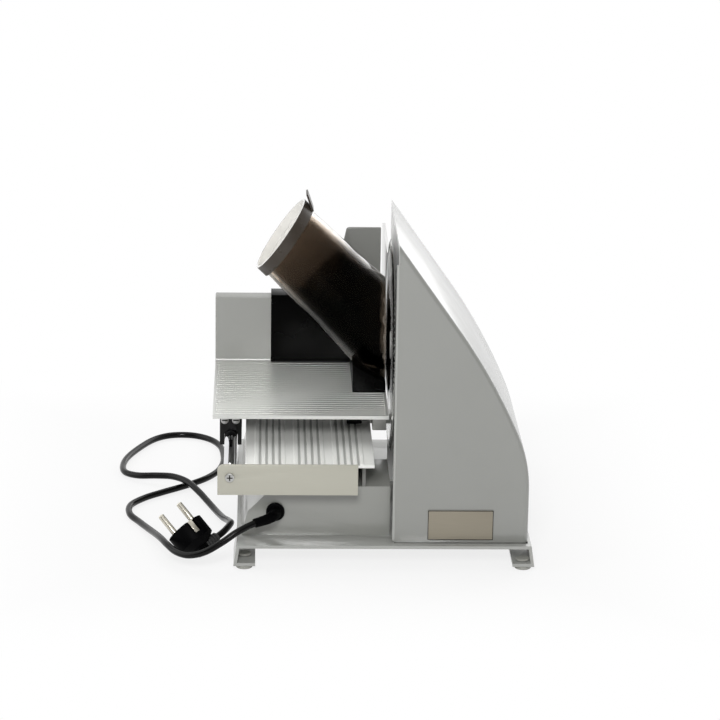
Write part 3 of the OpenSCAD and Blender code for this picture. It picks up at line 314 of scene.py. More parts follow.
# Darker silver in the valleys between the bed's ribs: painted shade
VALLEY_SHADE = satin("silver_valley_painted_shade", "silver", (0.42, 0.422, 0.405), 0.5, (1, 0.02, 1), 0.02, 0.2)
SILVER_Z = satin("silver_upright", "silver", (0.84, 0.84, 0.83), 0.35, (1, 1, 0.02))
WARM = satin("warm_aluminium", "warm_aluminium", (0.46, 0.45, 0.385), 0.45, (0.02, 1, 1), 0.015)
PLATE = satin("name_plate", "warm_aluminium", (0.275, 0.247, 0.192), 0.42, (0.02, 1, 1), 0.03)
STEEL = satin("zinc_steel", "steel", (0.5, 0.5, 0.49), 0.35, (1, 1, 1), 0.05, 0.9)
DARK_STEEL = satin("dark_steel", "dark_steel", (0.1, 0.1, 0.1), 0.5, (1, 1, 1), 0.05, 0.9)
# Dark silver as painted shade on the bed's sides and underside, the carriage plate's underside and the
# carriage rail
SILVER_SHADE_DARK = satin("silver_painted_shade", "silver", (0.2, 0.2, 0.19), 0.4, (1, 0.02, 1), 0.03, 0.4)
COVER = polished("cover_steel", "steel", (0.8, 0.8, 0.79), 0.08)
CHROME = polished("chrome", "chrome", (0.78, 0.78, 0.8), 0.07)
PIN_METAL = satin("pin_metal", "chrome", (0.6, 0.57, 0.49), 0.32, (1, 1, 1), 0.02, 0.9)
BLADE = polished("blade_steel", "blade_steel", (0.74, 0.745, 0.74), 0.1)
BLADE_SIDE = polished("blade_side", "blade_steel", (0.7, 0.7, 0.69), 0.16)
BRASS = polished("brass", "brass", (0.62, 0.46, 0.18), 0.25)
IVORY = moulded("ivory_plastic", "ivory_plastic", (0.68, 0.65, 0.53), 0.4)
BLACK = moulded("black_plastic", "black_plastic", (0.006, 0.006, 0.006), 0.4)
GLOSS_BLACK = moulded("gloss_black", "gloss_black", (0.0008, 0.0008, 0.0008), 0.2, 0.06, 0.03)
GREEN = moulded("green_plastic", "green_plastic", (0.02, 0.09, 0.03), 0.28, 0.08, 0.5)
RUBBER = moulded("black_rubber", "black_rubber", (0.0012, 0.0012, 0.0015), 0.5, 0.12, 0.03)
CORD = moulded("cord_rubber", "cord_rubber", (0.003, 0.003, 0.003), 0.2, 0.02, 0.15)
GREY_RUBBER = moulded("grey_rubber", "grey_rubber", (0.36, 0.36, 0.33), 0.55)
RELIEF = moulded("relief_rubber", "black_rubber", (0.04, 0.04, 0.04), 0.5)
BEAD = satin("wall_bead", "silver", (0.5, 0.5, 0.485), 0.35, (0.02, 1, 1), 0.01, 0.3)
# Dark finish for the plate's outline and, as painted shade, for the screw slots and the housing's foot
MARK_AND_SHADE = moulded("dark_mark_and_painted_shade", "black_plastic", (0.03, 0.028, 0.024), 0.6, 0.0)
# The feed tube darkens towards the blade as painted shade
SMOKE = smoke("smoky_plastic", "smoky_plastic", (0.77, 0.695, 0.615), 1.1, 0.42, (0.19, 0.166, 0.14))
SMOKE_PUSHER = smoke("smoky_pusher", "smoky_plastic", (0.3, 0.272, 0.245), 1.1, 0.55)
COLLAR = moulded("smoky_collar", "smoky_plastic", (0.043, 0.034, 0.026), 0.3, 0.04, 0.35)
# Pale colour on the pusher's lid: a painted reflection of the white surroundings
PALE_LID = pale_glossy("lid_painted_reflection", "smoky_plastic", (0.76, 0.745, 0.708), 0.2)

# Building helpers
WELD = 2e-6
FLAT_ANGLE = math.radians(0.8)
CORNER_ANGLE = math.radians(40)
SHARP_ANGLE = math.radians(32)
BIG_STEPS = 6


def add(name, mesh_data, mat, body):
    """A new piece with one material, riding on a body."""
    obj = bpy.data.objects.new(name, mesh_data)
    scene.collection.objects.link(obj)
    obj.data.materials.append(mat)
    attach(obj, body)
    return obj


def from_bmesh(name, bm, mat, body, sharp=SHARP_ANGLE):
    """A new piece from a bmesh, smooth except at edges sharper than an angle."""
    bmesh.ops.recalc_face_normals(bm, faces=bm.faces)
    for f in bm.faces:
        f.smooth = True
    for e in bm.edges:
        if len(e.link_faces) == 2:
            e.smooth = e.calc_face_angle(0.0) < sharp
    data = bpy.data.meshes.new(name)
    bm.to_mesh(data)
    bm.free()
    return add(name, data, mat, body)


def finish_node(node, mat):
    """A CAD node that stays as it is, with a better material."""
    obj = nodes[node]
    obj.data.materials.clear()
    obj.data.materials.append(mat)


def round_off(bm, edges, width_mm, steps):
    bmesh.ops.bevel(bm, geom=edges, offset=width_mm * MM, offset_type="OFFSET", segments=steps, profile=0.5,
                    affect="EDGES", clamp_overlap=True)


def dress(node, mat, edge_mm, steps, big=None, big_mm=0.0):
    """The node's own shape with rounded edges, and broader rounds on the edges that big picks."""
    bm = bmesh.new()
    bm.from_mesh(nodes[node].data)
    bmesh.ops.remove_doubles(bm, verts=bm.verts, dist=WELD)
    bmesh.ops.dissolve_limit(bm, angle_limit=FLAT_ANGLE, verts=bm.verts, edges=bm.edges)
    if big:
        round_off(bm, [e for e in bm.edges if len(e.link_faces) == 2 and big(e)], big_mm, BIG_STEPS)
    round_off(bm, [e for e in bm.edges if len(e.link_faces) == 2 and e.calc_face_angle(0.0) > CORNER_ANGLE],
              edge_mm, steps)
    obj = from_bmesh(node + "_piece", bm, mat, nodes[node]["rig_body"])
    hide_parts(node)
    return obj


def refinish(obj, mat, picks):
    """A second finish on the faces of a piece that picks chooses."""
    obj.data.materials.append(mat)
    index = len(obj.data.materials) - 1
    for face in obj.data.polygons:
        if picks(face):
            face.material_index = index


def skin(bm, rings):
    """Faces between neighbouring rings that have the same number of points."""
    for one, two in zip(rings, rings[1:]):
        for j in range(len(one)):
            k = (j + 1) % len(one)
            bm.faces.new((one[j], one[k], two[k], two[j]))


def revolve(bm, origin, axis, profile, turns):
    """Rings about an axis from (distance along it, radius) pairs; a radius of zero closes the end."""
    along = Vector(axis).normalized()
    side = along.orthogonal().normalized()
    other = along.cross(side)
    rings = []
    for reach, radius in profile:
        centre = Vector(origin) + along * reach
        if radius == 0:
            rings.append([bm.verts.new(centre)])
            continue
        ring = []
        for j in range(turns):
            a = 2 * math.pi * j / turns
            ring.append(bm.verts.new(centre + radius * (math.cos(a) * side + math.sin(a) * other)))
        rings.append(ring)
    for one, two in zip(rings, rings[1:]):
        for j in range(turns):
            k = (j + 1) % turns
            if len(one) == 1 and len(two) > 1:
                bm.faces.new((one[0], two[k], two[j]))
            elif len(two) == 1 and len(one) > 1:
                bm.faces.new((one[j], one[k], two[0]))
            elif len(one) > 1:
                bm.faces.new((one[j], one[k], two[k], two[j]))


# Cord, boot and plug
BOOT_START = Vector((-90.5, -91.5, 40.0))
BOOT_BEND = 18.0
BOOT_CURVED = 0.75
BOOT_TURN = math.radians(60)
BOOT_TAIL = 8.0
BOOT_DROP = 2.0
BOOT_DIP = 0.18
CORD_D = 5.4
CORD_ROUTE = [
    (-119.5, -117.5, 33.4), (-132, -121, 25.6), (-145, -121.3, 18), (-157.5, -116.5, 13.6),
    (-167.5, -107, 12.9), (-174.5, -93.5, 13.6), (-179.5, -77.5, 12.6), (-184.5, -59, 9.8),
    (-191, -37, 6.2), (-199.5, -13, 3.6), (-208, 7, 3.2), (-208.5, 28, 3.2), (-198, 46.5, 3.2),
    (-183, 61.5, 3.2), (-169, 74, 3.2), (-157, 86, 3.2), (-146, 100, 3.2), (-138, 117, 3.2),
    (-134, 138, 3.2), (-134, 160, 3.2), (-137, 183, 3.2), (-146, 202, 3.2), (-162, 213.5, 3.2),
    (-181, 213, 3.2), (-196, 200, 3.2), (-209, 173, 3.2), (-217, 148, 3.2), (-219, 126, 3.2),
    (-215.5, 109.5, 3.8), (-204.5, 97, 5.6), (-189, 89.5, 8.2), (-175, 82, 9.9), (-163, 69, 9.9),
    (-153, 51, 7.4), (-144.5, 31, 5), (-137.5, 10, 4.6), (-132, -11.5, 7), (-127.3, -33, 12),
    (-126, -56, 17.5)]
PLUG_FACE = Vector((-161.5, -77.5, 21.9))
PLUG_Z = Vector((-0.63, 0.4, 0.66)).normalized()
PLUG_LEAN = Vector((0.66, 0.64, 0.38))
PLUG_X = (PLUG_LEAN - PLUG_LEAN.dot(PLUG_Z) * PLUG_Z).normalized()
NECK_BACK = 20.5
RELIEF_FROM = 4.0
RELIEF_TO = 17.5
RELIEF_BASE = PLUG_FACE - NECK_BACK * PLUG_Z
RELIEF_END = RELIEF_BASE + RELIEF_TO * PLUG_X
START_PULL = 15.0
END_PULL = 24.0
STEPS_EACH = 8


def boot_point(f):
    """The middle of the boot, from its start at 0 to its end at 1."""
    a = BOOT_TURN * min(f / BOOT_CURVED, 1)
    s = BOOT_TAIL * max(f - BOOT_CURVED, 0) / (1 - BOOT_CURVED)
    return BOOT_START + Vector((
        -BOOT_BEND * (1 - math.cos(a)) - s * math.sin(BOOT_TURN),
        -BOOT_BEND * math.sin(a) - s * math.cos(BOOT_TURN),
        -BOOT_DROP * f * f))


def boot_way(f):
    """The direction in which the boot runs there."""
    a = BOOT_TURN * min(f / BOOT_CURVED, 1)
    return Vector((-math.sin(a), -math.cos(a), -BOOT_DIP * f))


def cord_points():
    """A smooth curve through the route's points, from the boot to the strain relief."""
    stops = [boot_point(1)] + [Vector(p) for p in CORD_ROUTE] + [RELIEF_END]
    last = len(stops) - 1
    ways = [START_PULL * boot_way(1)]
    ways += [(stops[i + 1] - stops[i - 1]) / 2 for i in range(1, last)]
    ways.append(-END_PULL * PLUG_X)
    points = []
    for i in range(last):
        for k in range(STEPS_EACH):
            f = k / STEPS_EACH
            points.append(
                (2 * f ** 3 - 3 * f ** 2 + 1) * stops[i] + (f ** 3 - 2 * f ** 2 + f) * ways[i]
                + (3 * f ** 2 - 2 * f ** 3) * stops[i + 1] + (f ** 3 - f ** 2) * ways[i + 1])
    points.append(stops[-1])
    return [at(*p) for p in points]


def make_cord():
    """The cord as one curve, with its first point and its length."""
    points = cord_points()
    curve = bpy.data.curves.new("mains_cord", "CURVE")
    curve.dimensions = "3D"
    curve.bevel_depth = CORD_D / 2 * MM
    curve.bevel_resolution = 5
    curve.use_fill_caps = True
    spline = curve.splines.new("POLY")
    spline.points.add(len(points) - 1)
    for p, co in zip(spline.points, points):
        p.co = (*co, 1.0)
    spline.use_smooth = True
    obj = add("mains_cord", curve, CORD, "base")
    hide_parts("power_cord")
    length = sum((b - a).length for a, b in zip(points, points[1:]))
    return obj, points[0], length


BOOT_R0 = 4.8
BOOT_R1 = 3.6
BOOT_STEPS = 24
BOOT_SIDES = 28


def make_boot():
    """Smooth tapered boot where the cord leaves the housing."""
    bm = bmesh.new()
    rings = []
    for i in range(BOOT_STEPS + 1):
        f = i / BOOT_STEPS
        way = boot_way(f).normalized()
        side = Vector((0, 0, 1)).cross(way).normalized()
        up = way.cross(side)
        r = BOOT_R0 + (BOOT_R1 - BOOT_R0) * f
        ring = []
        for j in range(BOOT_SIDES):
            a = 2 * math.pi * j / BOOT_SIDES
            ring.append(bm.verts.new(at(*(boot_point(f) + r * (math.cos(a) * side + math.sin(a) * up)))))
        rings.append(ring)
    skin(bm, rings)
    bm.faces.new(rings[0])
    bm.faces.new(rings[-1])
    obj = from_bmesh("cord_boot_piece", bm, RUBBER, "base")
    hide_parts("cord_boot")
    return obj


RELIEF_RINGS = 5
RELIEF_SIDES = 32
RELIEF_R0 = 5.4
RELIEF_R1 = 4.2
RELIEF_CUT = 1.1
RIDGE_END = 0.55
CUT_START = 0.65
CUT_END = 0.95


def make_relief():
    """Ridged strain relief between the plug and the cord."""
    bm = bmesh.new()
    profile = [(RELIEF_FROM * MM, 0.0)]
    pitch = (RELIEF_TO - RELIEF_FROM) / RELIEF_RINGS
    for i in range(RELIEF_RINGS):
        r = RELIEF_R0 + (RELIEF_R1 - RELIEF_R0) * i / (RELIEF_RINGS - 1)
        x = RELIEF_FROM + i * pitch
        low = r - RELIEF_CUT
        for share, radius in ((0.0, r), (RIDGE_END, r), (CUT_START, low), (CUT_END, low)):
            profile.append(((x + share * pitch) * MM, radius * MM))
    profile += [(RELIEF_TO * MM, (RELIEF_R1 - RELIEF_CUT) * MM), (RELIEF_TO * MM, 0.0)]
    revolve(bm, at(*RELIEF_BASE), PLUG_X, profile, RELIEF_SIDES)
    obj = from_bmesh("plug_relief_piece", bm, RELIEF, "base")
    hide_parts("plug_relief")
    return obj


cord, cord_exit, cord_length = make_cord()
boot = make_boot()
relief = make_relief()
plug = dress("plug_body", RUBBER, 0.7, 3)
pins = dress("plug_pins", PIN_METAL, 0.9, 3)
clips = dress("plug_earth_clips", PIN_METAL, 0.2, 2)
dress("cord_gland", RUBBER, 0.8, 3)

# Blade with a wavy ground edge
BLADE_R = 85.0
BLADE_WAVES = 108
WAVE_STEPS = 8
WAVE_DEPTH = 0.9
BLADE_T = 1.2
DISH = 3.5
DISH_R = 28.0
DISH_RUN = 10.0
BEVEL_W = 8.0
BORE_R = 3.0
FLAT_R = 76.0
FLAT_RING = 75.4
DISH_OUT = DISH_R + DISH_RUN
DISH_SOFT = 0.25
HOLLOW = 0.4
BLADE_SHARP = math.radians(40)


def make_blade():
    """Closed dished disc whose rim and bevel carry hollow-ground waves."""
    bm = bmesh.new()
    count = BLADE_WAVES * WAVE_STEPS
    far_dish = DISH + BLADE_T
    rows = [
        ("flat", BORE_R, DISH), ("flat", DISH_R - 1, DISH), ("flat", DISH_R + 1, DISH - DISH_SOFT),
        ("flat", DISH_OUT - 1, DISH_SOFT), ("flat", DISH_OUT + 1, 0.0), ("flat", FLAT_RING, 0.0),
        ("flat", FLAT_R, 0.0),
        ("bevel", 0.7, 0.1), ("bevel", 0.34, 0.2), ("rim", 0.0, BLADE_T - 0.15), ("rim", 0.0, BLADE_T),
        ("flat", FLAT_R, BLADE_T), ("flat", DISH_OUT + 1.5, BLADE_T),
        ("flat", DISH_OUT - 0.5, BLADE_T + DISH_SOFT), ("flat", DISH_R + 1.5, far_dish - DISH_SOFT),
        ("flat", DISH_R - 0.5, far_dish), ("flat", BORE_R, far_dish)]
    rings = []
    for kind, r, x in rows:
        ring = []
        for j in range(count):
            t = (j % WAVE_STEPS) / WAVE_STEPS
            hollow = math.sin(math.pi * t)
            a = 2 * math.pi * j / count
            radius = r
            across = x
            if kind == "rim":
                radius = BLADE_R - WAVE_DEPTH * hollow
            if kind == "bevel":
                radius = BLADE_R - WAVE_DEPTH * hollow - r * BEVEL_W
                across = x + HOLLOW * hollow
            ring.append(bm.verts.new(at(across, radius * math.cos(a), AXIS_Z + radius * math.sin(a))))
        rings.append(ring)
    rings.append(rings[0])
    skin(bm, rings)
    obj = from_bmesh("blade_piece", bm, BLADE, "blade_set", BLADE_SHARP)
    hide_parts("blade")
    refinish(obj, BLADE_SIDE, lambda face: abs(face.normal.x) > 0.999)


make_blade()

# Housings and base
ON_PLANE = 2e-5
NEAR = 1e-4
HOUSING_ANGLE = math.radians(60)
LOWER_ANGLE = math.radians(20)


def on_end(e, y):
    """Whether an edge lies in an end face."""
    return all(abs(v.co.y - y) < ON_PLANE for v in e.verts)


BLADE_SIDE_DEPTH = 0.009
POCKET_BACK = 0.05
HOUSING_LOW, HOUSING_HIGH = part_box("motor_housing")
LOWER_LOW, LOWER_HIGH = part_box("lower_housing")
SWITCH_LOW, SWITCH_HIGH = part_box("switch_body")


def at_switch(v):
    """Whether a vertex lies within the switch's outline as seen from the front."""
    across = SWITCH_LOW.x - NEAR < v.co.x < SWITCH_HIGH.x + NEAR
    upright = SWITCH_LOW.z - NEAR < v.co.z < SWITCH_HIGH.z + NEAR
    return across and upright


def housing_round(e):
    """Outline edges of the housing's two ends, except along the blade side, the foot and the switch."""
    if not (on_end(e, HOUSING_LOW.y) or on_end(e, HOUSING_HIGH.y)):
        return False
    if e.calc_face_angle(0.0) < HOUSING_ANGLE:
        return False
    at_foot = all(v.co.z < HOUSING_LOW.z + NEAR for v in e.verts)
    at_blade = all(v.co.x < HOUSING_LOW.x + NEAR for v in e.verts)
    round_switch = on_end(e, HOUSING_HIGH.y) and all(at_switch(v) for v in e.verts)
    return not (at_foot or at_blade or round_switch)


def lower_round(e):
    """Outline edges of the lower housing's two ends, except along its foot."""
    if e.calc_face_angle(0.0) < LOWER_ANGLE:
        return False
    if all(v.co.z < LOWER_LOW.z + NEAR for v in e.verts):
        return False
    return on_end(e, LOWER_LOW.y) or on_end(e, LOWER_HIGH.y)


def blade_side_painted_light(face):
    """Faces seen past the blade: the housing's flank and the inner side of its front wall, which take a
    pale silver as painted light.
    """
    flank = face.normal.x < -0.5 and face.center.x < HOUSING_LOW.x + BLADE_SIDE_DEPTH
    inner_front = face.normal.y < -0.7 and face.center.y > HOUSING_LOW.y + POCKET_BACK
    return flank or inner_front


housing = dress("motor_housing", GREY_PAINT, 0.4, 2, housing_round, 3.6)
# Pale silver instead of grey paint on the blade side: painted light on faces that stay shaded
refinish(housing, SILVER_Z, blade_side_painted_light)
dress("lower_housing", GREY_LOW, 0.4, 2, lower_round, 2.0)
dress("base_plate", GREY_BASE_LIT, 0.7, 3)
dress("rubber_feet", GREY_RUBBER, 0.8, 3)
dress("base_screws", STEEL, 0.8, 3)
dress("name_plate", PLATE, 0.3, 2)

# Carriage, bed and rod
BED_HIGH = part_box("carriage_bed")[1]
RIB_H = 0.001
RIB_NEAR = 0.006
RIB_GAP_HALF = 0.0009


def rib_gaps():
    """Middles of the narrow valleys between neighbouring ribs."""
    mesh = nodes["carriage_bed"].data
    middles = set()
    for face in mesh.polygons:
        if face.normal.z > 0.9 and face.center.z > BED_HIGH.z - RIB_H / 4:
            xs = [mesh.vertices[i].co.x for i in face.vertices]
            middles.add(round((min(xs) + max(xs)) / 2, 5))
    middles = sorted(middles)
    return [(a + b) / 2 for a, b in zip(middles, middles[1:]) if b - a < RIB_NEAR]


GAPS = rib_gaps()


def shaded_valley(face):
    """Faces of the narrow valleys between the ribs, which take a darker silver as painted shade."""
    level = BED_HIGH.z - RIB_H
    if face.normal.z < 0.3 or abs(face.center.z - level) > RIB_H / 2:
        return False
    return any(abs(face.center.x - x) < RIB_GAP_HALF for x in GAPS)


def bed_shaded_faces(face):
    """The bed's sides and underside, which take a dark silver as painted shade."""
    return face.center.z < BED_HIGH.z - 4 * RIB_H


bed = dress("carriage_bed", SILVER_Y, 0.8, 4)
# Painted shade in the valleys between the ribs
refinish(bed, VALLEY_SHADE, shaded_valley)
# Painted shade on the bed's sides and underside
refinish(bed, SILVER_SHADE_DARK, bed_shaded_faces)
dress("bed_rear_plate", WARM, 0.5, 2)
dress("bed_front_plate", WARM, 0.5, 2)
dress("guide_rod", CHROME, 0.6, 2)
dress("rod_screws", STEEL, 0.4, 2)
carriage_plate = dress("carriage_plate", SILVER_X, 0.15, 1)
# Painted shade on the carriage plate's underside
refinish(carriage_plate, SILVER_SHADE_DARK, lambda face: face.normal.z < -0.9)
dress("carriage_wall", GREY_WALL, 0.8, 3)
dress("thumb_guard", GUARD, 0.8, 3)
# The carriage rail is painted dark as shade
dress("carriage_rail", SILVER_SHADE_DARK, 0.6, 2)
dress("carriage_shoes", BLACK, 1.0, 3)
dress("shoe_screws", STEEL, 0.7, 3)
dress("carriage_glides", BLACK, 0.6, 2)

# Feed attachment
dress("feed_holder", GLOSS_BLACK, 1.0, 3)
dress("feed_tube", SMOKE, 0.6, 3)
LID_UP = Vector((-0.81915, 0.0, 0.57358))
LID_RISE = 0.003
RIM_RISE = 0.0068
RIM_TOP = 0.01
RIM_R = 0.0325
LEVEL_SPAN = 0.001


def from_axis(point):
    """The way from the tube's axis straight out to a point."""
    from_mouth = point - MOUTH
    return from_mouth - from_mouth.dot(TUBE_DOWN) * TUBE_DOWN


def on_pale_lid(face):
    """The lid, the inner side of the rim round it and the rim's top, which take a pale colour as a painted
    reflection.
    """
    rise = (face.center - MOUTH).dot(LID_UP)
    if face.normal.dot(LID_UP) > 0.95:
        return min(abs(rise - LID_RISE), abs(rise - RIM_TOP)) < LEVEL_SPAN
    outward = from_axis(face.center)
    return LID_RISE < rise < LID_RISE + RIM_RISE and face.normal.dot(outward) < 0 and outward.length < RIM_R


def on_collar(face):
    """The outer side of the rim and the thumb tab on it."""
    rise = (face.center - MOUTH).dot(LID_UP)
    return rise > 0 and from_axis(face.center).length > RIM_R and face.normal.dot(LID_UP) < 0.9


pusher = dress("pusher", SMOKE_PUSHER, 0.5, 3)
# The lid and the rim's inner side take the painted reflection
refinish(pusher, PALE_LID, on_pale_lid)
refinish(pusher, COLLAR, on_collar)

# Stop plate, knob and switch
dress("stop_plate", SILVER_Z, 0.4, 2)
dress("stop_slider", STEEL, 0.3, 2)
dress("stop_screws", STEEL, 0.4, 2)
dress("thickness_knob", BLACK, 0.5, 3)
dress("switch_body", BLACK, 0.5, 3)
dress("switch_rocker", GREEN, 0.5, 3)

# Inner pieces keep their CAD shape
INNER = {
    "bearing_plate": COVER, "spindle_bearings": CHROME, "gear_bracket": STEEL, "worm_bush": BRASS,
    "motor_can": DARK_STEEL, "motor_stator": DARK_STEEL, "motor_clamp": STEEL, "motor_capacitor": SILVER_Z,
    "terminal_block": IVORY, "stop_guide_rods": CHROME, "knob_bracket": STEEL, "blade_screw": STEEL,
    "blade_spindle": STEEL, "drive_gear": IVORY, "spindle_nut": STEEL, "motor_rotor": DARK_STEEL,
    "rotor_shaft": STEEL, "worm": BRASS, "cooling_fan": BLACK, "knob_shaft": STEEL, "knob_pinion": BRASS}
for name, mat in INNER.items():
    finish_node(name, mat)


# Small details that ride on what carries them
def box_piece(name, low_mm, high_mm, mat, body):
    """A plain box between two corners given in millimetres from the blade axis."""
    bm = bmesh.new()
    bmesh.ops.create_cube(bm, size=1.0)
    a = at(*low_mm)
    b = at(*high_mm)
    for v in bm.verts:
        v.co = Vector([a[i] + (v.co[i] + 0.5) * (b[i] - a[i]) for i in range(3)])
    from_bmesh(name, bm, mat, body)


ROD_X = -126.0
ROD_Z = 74.5
ROD_HEAD_Y = -110.0
CROSS_HALF = 2.3
CROSS_W = 0.5
SINK = 0.4
PROUD = 0.06


def head_slot_shade(name, x, y, z, half_x, half_z, body):
    """A dark box standing for the slot in a screw head that faces the rear: the slot is real, its darkness
    is painted shade.
    """
    box_piece(name, (x - half_x, y - PROUD, z - half_z), (x + half_x, y + SINK, z + half_z), MARK_AND_SHADE, body)


head_slot_shade("rod_screw_slot_shade_flat", ROD_X, ROD_HEAD_Y, ROD_Z, CROSS_HALF, CROSS_W, "base")
head_slot_shade("rod_screw_slot_shade_upright", ROD_X, ROD_HEAD_Y, ROD_Z, CROSS_W, CROSS_HALF, "base")
SHOE_SCREW_X = (-131.0, -122.0)
SHOE_SCREW_Z = 88.0
SHOE_HEAD_Y = -6.8
for i, x in enumerate(SHOE_SCREW_X):
    head_slot_shade("shoe_screw_mark_%d" % i, x, SHOE_HEAD_Y, SHOE_SCREW_Z, CROSS_HALF, CROSS_W, "carriage")

# Thin dark line round the blank plate
PLATE_LOW = (28.0, 23.0)
PLATE_HIGH = (79.0, 47.0)
PLATE_FACE_Y = -105.8
LINE_W = 0.5
LINE_PROUD = 0.08
for name, x0, z0, x1, z1 in (
        ("plate_line_foot", PLATE_LOW[0], PLATE_LOW[1], PLATE_HIGH[0], PLATE_LOW[1] + LINE_W),
        ("plate_line_top", PLATE_LOW[0], PLATE_HIGH[1] - LINE_W, PLATE_HIGH[0], PLATE_HIGH[1]),
        ("plate_line_left", PLATE_LOW[0], PLATE_LOW[1], PLATE_LOW[0] + LINE_W, PLATE_HIGH[1]),
        ("plate_line_right", PLATE_HIGH[0] - LINE_W, PLATE_LOW[1], PLATE_HIGH[0], PLATE_HIGH[1])):
    box_piece(name, (x0, PLATE_FACE_Y - LINE_PROUD, z0), (x1, PLATE_FACE_Y + LINE_PROUD, z1), MARK_AND_SHADE, "base")

# The motor housing's box in millimetres from the blade axis
case_low = HOUSING_LOW / MM - SHIFT
case_high = HOUSING_HIGH / MM - SHIFT

# Dark strip along the motor housing's foot, painted shade where it meets the base
SHADE_LINE_H = 0.5
SHADE_LINE_W = 1.0
SHADE_LINE_OUT = 0.06
shade_line_top = case_low.z + SHADE_LINE_H
box_piece("housing_shade_line_rear", (case_low.x, case_low.y - SHADE_LINE_OUT, case_low.z),
          (case_high.x, case_low.y + SHADE_LINE_W, shade_line_top), MARK_AND_SHADE, "base")
box_piece("housing_shade_line_front", (case_low.x, case_high.y - SHADE_LINE_W, case_low.z),
          (case_high.x, case_high.y + SHADE_LINE_OUT, shade_line_top), MARK_AND_SHADE, "base")
box_piece("housing_shade_line_right", (case_high.x - SHADE_LINE_W, case_low.y, case_low.z),
          (case_high.x + SHADE_LINE_OUT, case_high.y, shade_line_top), MARK_AND_SHADE, "base")

# Narrow lighter strip on the housing's rear edge beside the blade, a painted highlight along that edge
TRIM_W = 1.5
TRIM_SINK = 0.2
TRIM_Y = (-0.1, 1.8)
TRIM_FOOT = 2.0
TRIM_HEAD = 16.0
box_piece("housing_edge_highlight", (case_low.x - TRIM_W, case_low.y + TRIM_Y[0], case_low.z + TRIM_FOOT),
          (case_low.x + TRIM_SINK, case_low.y + TRIM_Y[1], case_high.z - TRIM_HEAD), GREY_BASE_LIT, "base")

# Bead where the carriage wall stands on the plate, left of the feed holder
BEAD_R = 1.6
BEAD_STEPS = 6
BEAD_INSET = 0.5


def make_bead():
    """A hollow fillet from the plate up to the wall."""
    wall_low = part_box("carriage_wall")[0]
    plate_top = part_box("carriage_plate")[1].z
    ends = (wall_low.x + BEAD_INSET * MM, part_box("feed_holder")[0].x - BEAD_INSET * MM)
    bm = bmesh.new()
    rings = []
    for x in ends:
        ring = [bm.verts.new((x, wall_low.y, plate_top))]
        for i in range(BEAD_STEPS + 1):
            a = math.pi / 2 * i / BEAD_STEPS
            hollow = BEAD_R * MM * (1 - math.cos(a))
            rise = BEAD_R * MM * (1 - math.sin(a))
            ring.append(bm.verts.new((x, wall_low.y - hollow, plate_top + rise)))
        rings.append(ring)
    skin(bm, rings)
    bm.faces.new(rings[0])
    bm.faces.new(rings[1])
    from_bmesh("wall_bead", bm, BEAD, "carriage")


make_bead()

# Floor, world and lamps
SMOOTH = "SMOOTHSTEP"
FLOOR_HALF = 6.0
FLOOR_DROP = 0.0003
FLOOR_WHITE_NEAR = 0.8
FLOOR_WHITE_RUN = 0.16
FLOOR_GREY = (0.9, 0.9, 0.9, 1.0)


def make_floor():
    """White floor that keeps the object's soft shadow and is plain white further off."""
    bm = bmesh.new()
    corners = [(-1, -1), (1, -1), (1, 1), (-1, 1)]
    bm.faces.new([bm.verts.new((FLOOR_HALF * x, FLOOR_HALF * y, -FLOOR_DROP)) for x, y in corners])
    data = bpy.data.meshes.new("floor")
    bm.to_mesh(data)
    bm.free()
    obj = bpy.data.objects.new("floor", data)
    scene.collection.objects.link(obj)
    mat = bpy.data.materials.new("floor")
    mat.use_nodes = True
    tree = mat.node_tree
    tree.nodes.clear()
    out = tree.nodes.new("ShaderNodeOutputMaterial")
    diffuse = tree.nodes.new("ShaderNodeBsdfDiffuse")
    diffuse.inputs["Color"].default_value = FLOOR_GREY
    white = tree.nodes.new("ShaderNodeEmission")
    place = tree.nodes.new("ShaderNodeNewGeometry")
    split = tree.nodes.new("ShaderNodeSeparateXYZ")
    tree.links.new(place.outputs["Position"], split.inputs["Vector"])
    off = []
    for axis, a, b in (("X", cad_low.x, cad_high.x), ("Y", cad_low.y, cad_high.y)):
        from_middle = math_node(tree, "SUBTRACT", split.outputs[axis], (a + b) / 2)
        span = math_node(tree, "ABSOLUTE", from_middle, 0.0)
        outside = math_node(tree, "SUBTRACT", span, (b - a) / 2)
        off.append(math_node(tree, "MAXIMUM", outside, 0.0))
    farthest = math_node(tree, "MAXIMUM", off[0], off[1])
    share = range_node(tree, farthest, 0.0, FLOOR_WHITE_RUN, FLOOR_WHITE_NEAR, 1.0, SMOOTH)
    path = tree.nodes.new("ShaderNodeLightPath")
    seen = math_node(tree, "MAXIMUM", path.outputs["Is Camera Ray"], path.outputs["Is Glossy Ray"])
    seen = math_node(tree, "MAXIMUM", seen, path.outputs["Is Transmission Ray"])
    mix = tree.nodes.new("ShaderNodeMixShader")
    tree.links.new(math_node(tree, "MULTIPLY", seen, share), mix.inputs["Fac"])
    tree.links.new(diffuse.outputs["BSDF"], mix.inputs[1])
    tree.links.new(white.outputs["Emission"], mix.inputs[2])
    tree.links.new(mix.outputs["Shader"], out.inputs["Surface"])
    data.materials.append(mat)


WORLD_STRENGTH = 0.32
ROOM_DARK = 0.12
ROOM_ABOVE = 0.65
REAR_FADE = (-0.7, -0.1)
HIGH_FADE = (0.5, 0.85)
TOP_FADE = (0.45, 0.8)
WHITE = (1.0, 1.0, 1.0, 1.0)


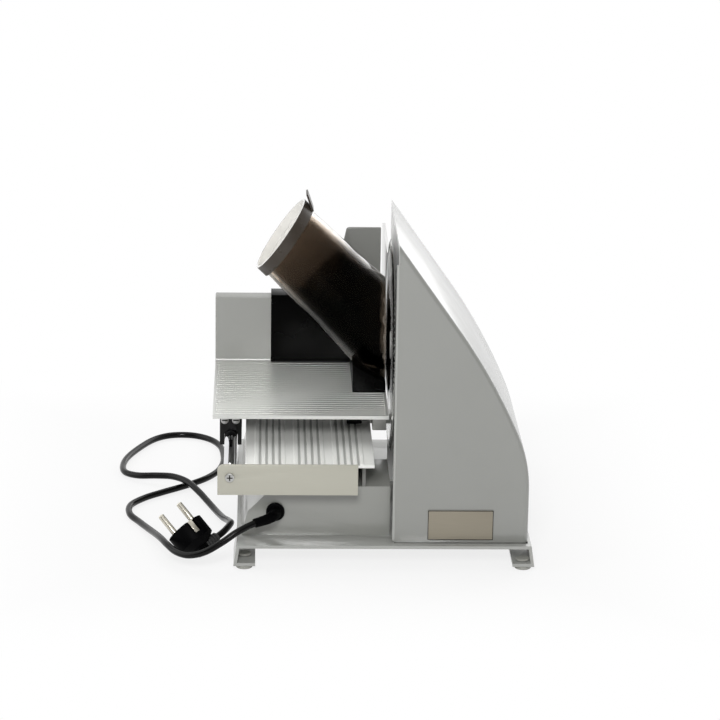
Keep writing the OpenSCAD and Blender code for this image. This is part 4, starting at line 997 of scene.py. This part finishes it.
def make_world():
    """White surroundings, with a darker room on the rear side for what gloss mirrors."""
    world = bpy.data.worlds.new("world")
    scene.world = world
    world.use_nodes = True
    tree = world.node_tree
    tree.nodes.clear()
    out = tree.nodes.new("ShaderNodeOutputWorld")
    fill = tree.nodes.new("ShaderNodeBackground")
    fill.inputs["Color"].default_value = WHITE
    fill.inputs["Strength"].default_value = WORLD_STRENGTH
    coords = tree.nodes.new("ShaderNodeTexCoord")
    split = tree.nodes.new("ShaderNodeSeparateXYZ")
    tree.links.new(coords.outputs["Generated"], split.inputs["Vector"])
    ahead = range_node(tree, split.outputs["Y"], *REAR_FADE, ROOM_DARK, 1.0, SMOOTH)
    low_only = range_node(tree, split.outputs["Z"], *HIGH_FADE, 1.0, ROOM_ABOVE, SMOOTH)
    ahead = math_node(tree, "MULTIPLY", ahead, low_only)
    above = range_node(tree, split.outputs["Z"], *TOP_FADE, 0.0, ROOM_ABOVE, SMOOTH)
    mirrored = tree.nodes.new("ShaderNodeBackground")
    mirrored.inputs["Color"].default_value = WHITE
    tree.links.new(math_node(tree, "MAXIMUM", ahead, above), mirrored.inputs["Strength"])
    white = tree.nodes.new("ShaderNodeBackground")
    white.inputs["Color"].default_value = WHITE
    path = tree.nodes.new("ShaderNodeLightPath")
    gloss = tree.nodes.new("ShaderNodeMixShader")
    tree.links.new(path.outputs["Is Glossy Ray"], gloss.inputs["Fac"])
    tree.links.new(fill.outputs["Background"], gloss.inputs[1])
    tree.links.new(mirrored.outputs["Background"], gloss.inputs[2])
    seen = math_node(tree, "MAXIMUM", path.outputs["Is Camera Ray"], path.outputs["Is Transmission Ray"])
    mix = tree.nodes.new("ShaderNodeMixShader")
    tree.links.new(seen, mix.inputs["Fac"])
    tree.links.new(gloss.outputs["Shader"], mix.inputs[1])
    tree.links.new(white.outputs["Background"], mix.inputs[2])
    tree.links.new(mix.outputs["Shader"], out.inputs["Surface"])


def area_lamp(name, where, aim, size, power):
    """A square lamp at a place, turned to a point."""
    data = bpy.data.lights.new(name, "AREA")
    data.shape = "SQUARE"
    data.size = size
    data.energy = power
    obj = bpy.data.objects.new(name, data)
    scene.collection.objects.link(obj)
    obj.location = where
    obj.rotation_euler = (Vector(aim) - Vector(where)).to_track_quat("-Z", "Y").to_euler()


make_floor()
make_world()
area_lamp("key_rear", (-0.15, -1.61, 1.0), (0.0, 0.0, 0.12), 0.4, 16)
area_lamp("overhead", (-0.3, 0.5, 1.6), (0.0, 0.0, 0.1), 2.0, 10)
area_lamp("left_fill", (-1.7, 0.0, 0.75), (0.0, 0.0, 0.12), 1.6, 10)
area_lamp("front_right", (1.15, 1.5, 0.8), (0.0, 0.0, 0.15), 1.6, 12)
